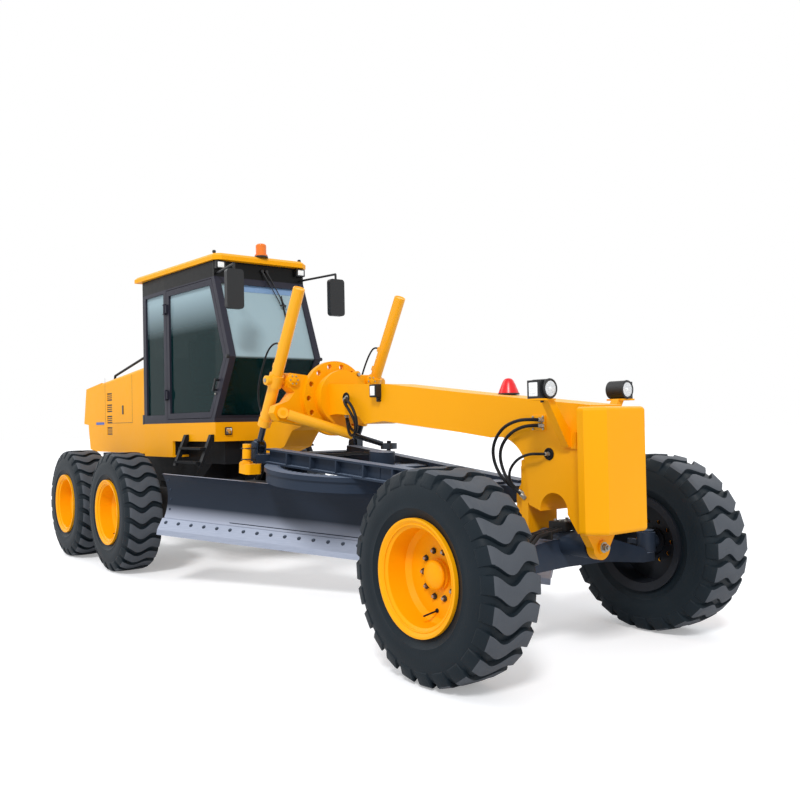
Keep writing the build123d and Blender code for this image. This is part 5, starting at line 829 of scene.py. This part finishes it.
# Engine hood: dark mesh behind the slats, latches, seams, side stripe, cover and the tail lamps
hood = {"side": 0.6, "ventX": -3.454, "ventZ": (2.047, 1.893, 1.739, 1.585), "vent": (0.198, 0.102, 0.003),
        "latches": ((-2.95, 1.86), (-2.24, 1.72)), "latch": (0.046, 0.118, 0.012), "bolt": (0.024, 0.084, 0.006),
        "plates": (   # x, z, size, bevel, slot
            (-3.05, 1.69, (0.86, 0.005, 0.0016), 0, 0), (-3.62, 2.0, (0.005, 0.62, 0.0016), 0, 0),
            (-2.62, 2.0, (0.005, 0.62, 0.0016), 0, 0), (-3.83, 1.69, (0.33, 0.034, 0.002), 0, 2),
            (-2.205, 1.985, (0.11, 0.3, 0.012), 0.005, 3))}
mesh = bmesh.new()
for side in (-1, 1):
    out, wall = Vector((0, side, 0)), side * hood["side"]
    for z in hood["ventZ"]:
        addBox(mesh, hood["vent"], 0, 1, facing((hood["ventX"], wall - side * 0.0105, z), out))
    for x, z in hood["latches"]:
        addBox(mesh, hood["latch"], 0.005, 3, facing((x, wall, z), out))
        addBox(mesh, hood["bolt"], 0.002, 2, facing((x, wall + side * 0.006, z), out), 1)
    for x, z, size, bevel, slot in hood["plates"]:
        addBox(mesh, size, bevel, 3, facing((x, wall, z), out), slot)
piece = newPiece("hood_trim", mesh, [mouldedBlack, mouldedGrey, stripeBlue, yellow], "chassis")

tail = {"at": (-4.474, 0.522, 1.96), "size": (0.075, 0.13, 0.03), "back": (-0.975, 0, 0.22),
        "red": (0.062, 0.068, 0.012), "redUp": 0.024, "amber": (0.062, 0.044, 0.012), "amberUp": -0.036}
mesh = bmesh.new()
back = Vector(tail["back"])
for side in (-1, 1):
    at = onSide(tail["at"], side)
    addBox(mesh, tail["size"], 0.008, 3, facing(at, back))
    for slot, colour in ((1, "red"), (2, "amber")):
        lensAt = at + back * 0.014 + Vector((0, 0, tail[colour + "Up"]))
        addBox(mesh, tail[colour], 0.006, 3, facing(lensAt, back), slot)
piece = newPiece("tail_lamps", mesh, [mouldedBlack, lampRed, beaconAmber], "chassis")
print("cab and hood fittings made")

# Nose: washer, nut and end of the axle pin (radius, length, sides, bevel, ahead)
axlePin = {"at": (4.24, 0, 0.77), "discs": (
    (0.036, 0.008, 36, 0.001, 0.001), (0.026, 0.028, 6, 0.003, 0.016), (0.0143, 0.016, 24, 0.002, 0.034))}
mesh = bmesh.new()
for *disc, ahead in axlePin["discs"]:
    addDisc(mesh, *disc, facing(Vector(axlePin["at"]) + forward * ahead, forward))
piece = newPiece("axle_pin_nut", mesh, [zincSteel], "front_frame")

# Axle: black pipes with a valve block, its bolts and the clamps along the beam
axleTrim = {"pipeX": (3.885, 3.925, 3.965), "pipe": 0.013, "pipeZ": 0.862, "pipeHalf": 0.33, "middle": 3.925,
            "block": (0.15, 0.2, 0.06), "blockZ": 0.893, "boltX": (-0.045, 0, 0.045), "boltY": (-0.06, 0.06),
            "boltZ": (0.918, 0.936), "clamp": (0.125, 0.024, 0.055), "clampY": (-0.22, 0.22), "clampZ": 0.842}
mesh = bmesh.new()
for x in axleTrim["pipeX"]:
    for side in (-1, 1):
        bend = Vector((x, side * axleTrim["pipeHalf"], axleTrim["pipeZ"] - 0.015))
        addRod(mesh, (x, 0, axleTrim["pipeZ"] + 0.02), bend, axleTrim["pipe"], 18)
        start, end = bend - Vector((0, side * 0.004, 0)), bend + Vector((0, side * 0.075, -0.062))
        addRod(mesh, start, end, axleTrim["pipe"], 18, 0.001)
addBox(mesh, axleTrim["block"], 0.006, 2, moved((axleTrim["middle"], 0, axleTrim["blockZ"])))
for x in axleTrim["boltX"]:
    for y in axleTrim["boltY"]:
        start, end = [(axleTrim["middle"] + x, y, z) for z in axleTrim["boltZ"]]
        addRod(mesh, start, end, 0.012, 6, 0.0015, 1)
for y in axleTrim["clampY"]:
    addBox(mesh, axleTrim["clamp"], 0.005, 2, moved((axleTrim["middle"], y, axleTrim["clampZ"])))
piece = newPiece("axle_pipes", mesh, [chassisBlack, zincSteel], "front_axle")

# Doors: a handle with its lock on the front stile; a tinted film along the top of the front glass
handle = {"at": (-0.268, 0.586, 2.06), "lean": 28, "grip": (0.026, 0.018, 0.15), "out": 0.018,
          "foot": (0.022, 0.05, 0.02), "feet": (-0.058, 0.058), "lockZ": -0.105}
for sideName, side in sides.items():
    mesh = bmesh.new()
    place = moved(onSide(handle["at"], side)) @ Matrix.Rotation(math.radians(handle["lean"]), 4, "Y")
    addBox(mesh, handle["grip"], 0.007, 3, place @ moved((0, side * handle["out"], 0)))
    for end in handle["feet"]:
        addBox(mesh, handle["foot"], 0.004, 2, place @ moved((0, 0, end)))
    addDisc(mesh, 0.011, 0.012, 20, 0.002, place @ facing((0, -side * handle["out"], handle["lockZ"]), (0, side, 0)), 1)
    piece = newPiece("door_handle_" + sideName, mesh, [mouldedBlack, zincSteel], "door_" + sideName)
film = {"z": 3.13, "size": (0.88, 0.115, 0.002), "off": 0.0015}
mesh = bmesh.new()
normal = Vector((1, 0, -wiper["slope"])).normalized()
addBox(mesh, film["size"], 0, 1, facing(onGlass(0, film["z"], 0) + normal * film["off"], normal))
piece = newPiece("glass_film", mesh, [filmBlue], "chassis")
print("nose, axle and door fittings made")

# Cab base: black liners in the ladder recess. Circle drive: clamp bands round its motor
liner = {"at": (-1.3215, 0.38, 1.38), "size": (0.42, 0.158, 0.003)}
mesh = bmesh.new()
for side in (-1, 1):
    addBox(mesh, liner["size"], 0, 1, facing(onSide(liner["at"], side), forward))
piece = newPiece("recess_liners", mesh, [chassisBlack], "chassis")
drive = {"x": 0.6, "y": -0.6685, "radius": 0.0765, "bands": (1.3, 1.405), "band": 0.006}
mesh = bmesh.new()
for z in drive["bands"]:
    joinInto(mesh, ringShape(drive["radius"], drive["band"], 56), moved((drive["x"], drive["y"], z)))
piece = newPiece("drive_motor_bands", mesh, [mouldedBlack], "drawbar")
print("liners and motor bands made")
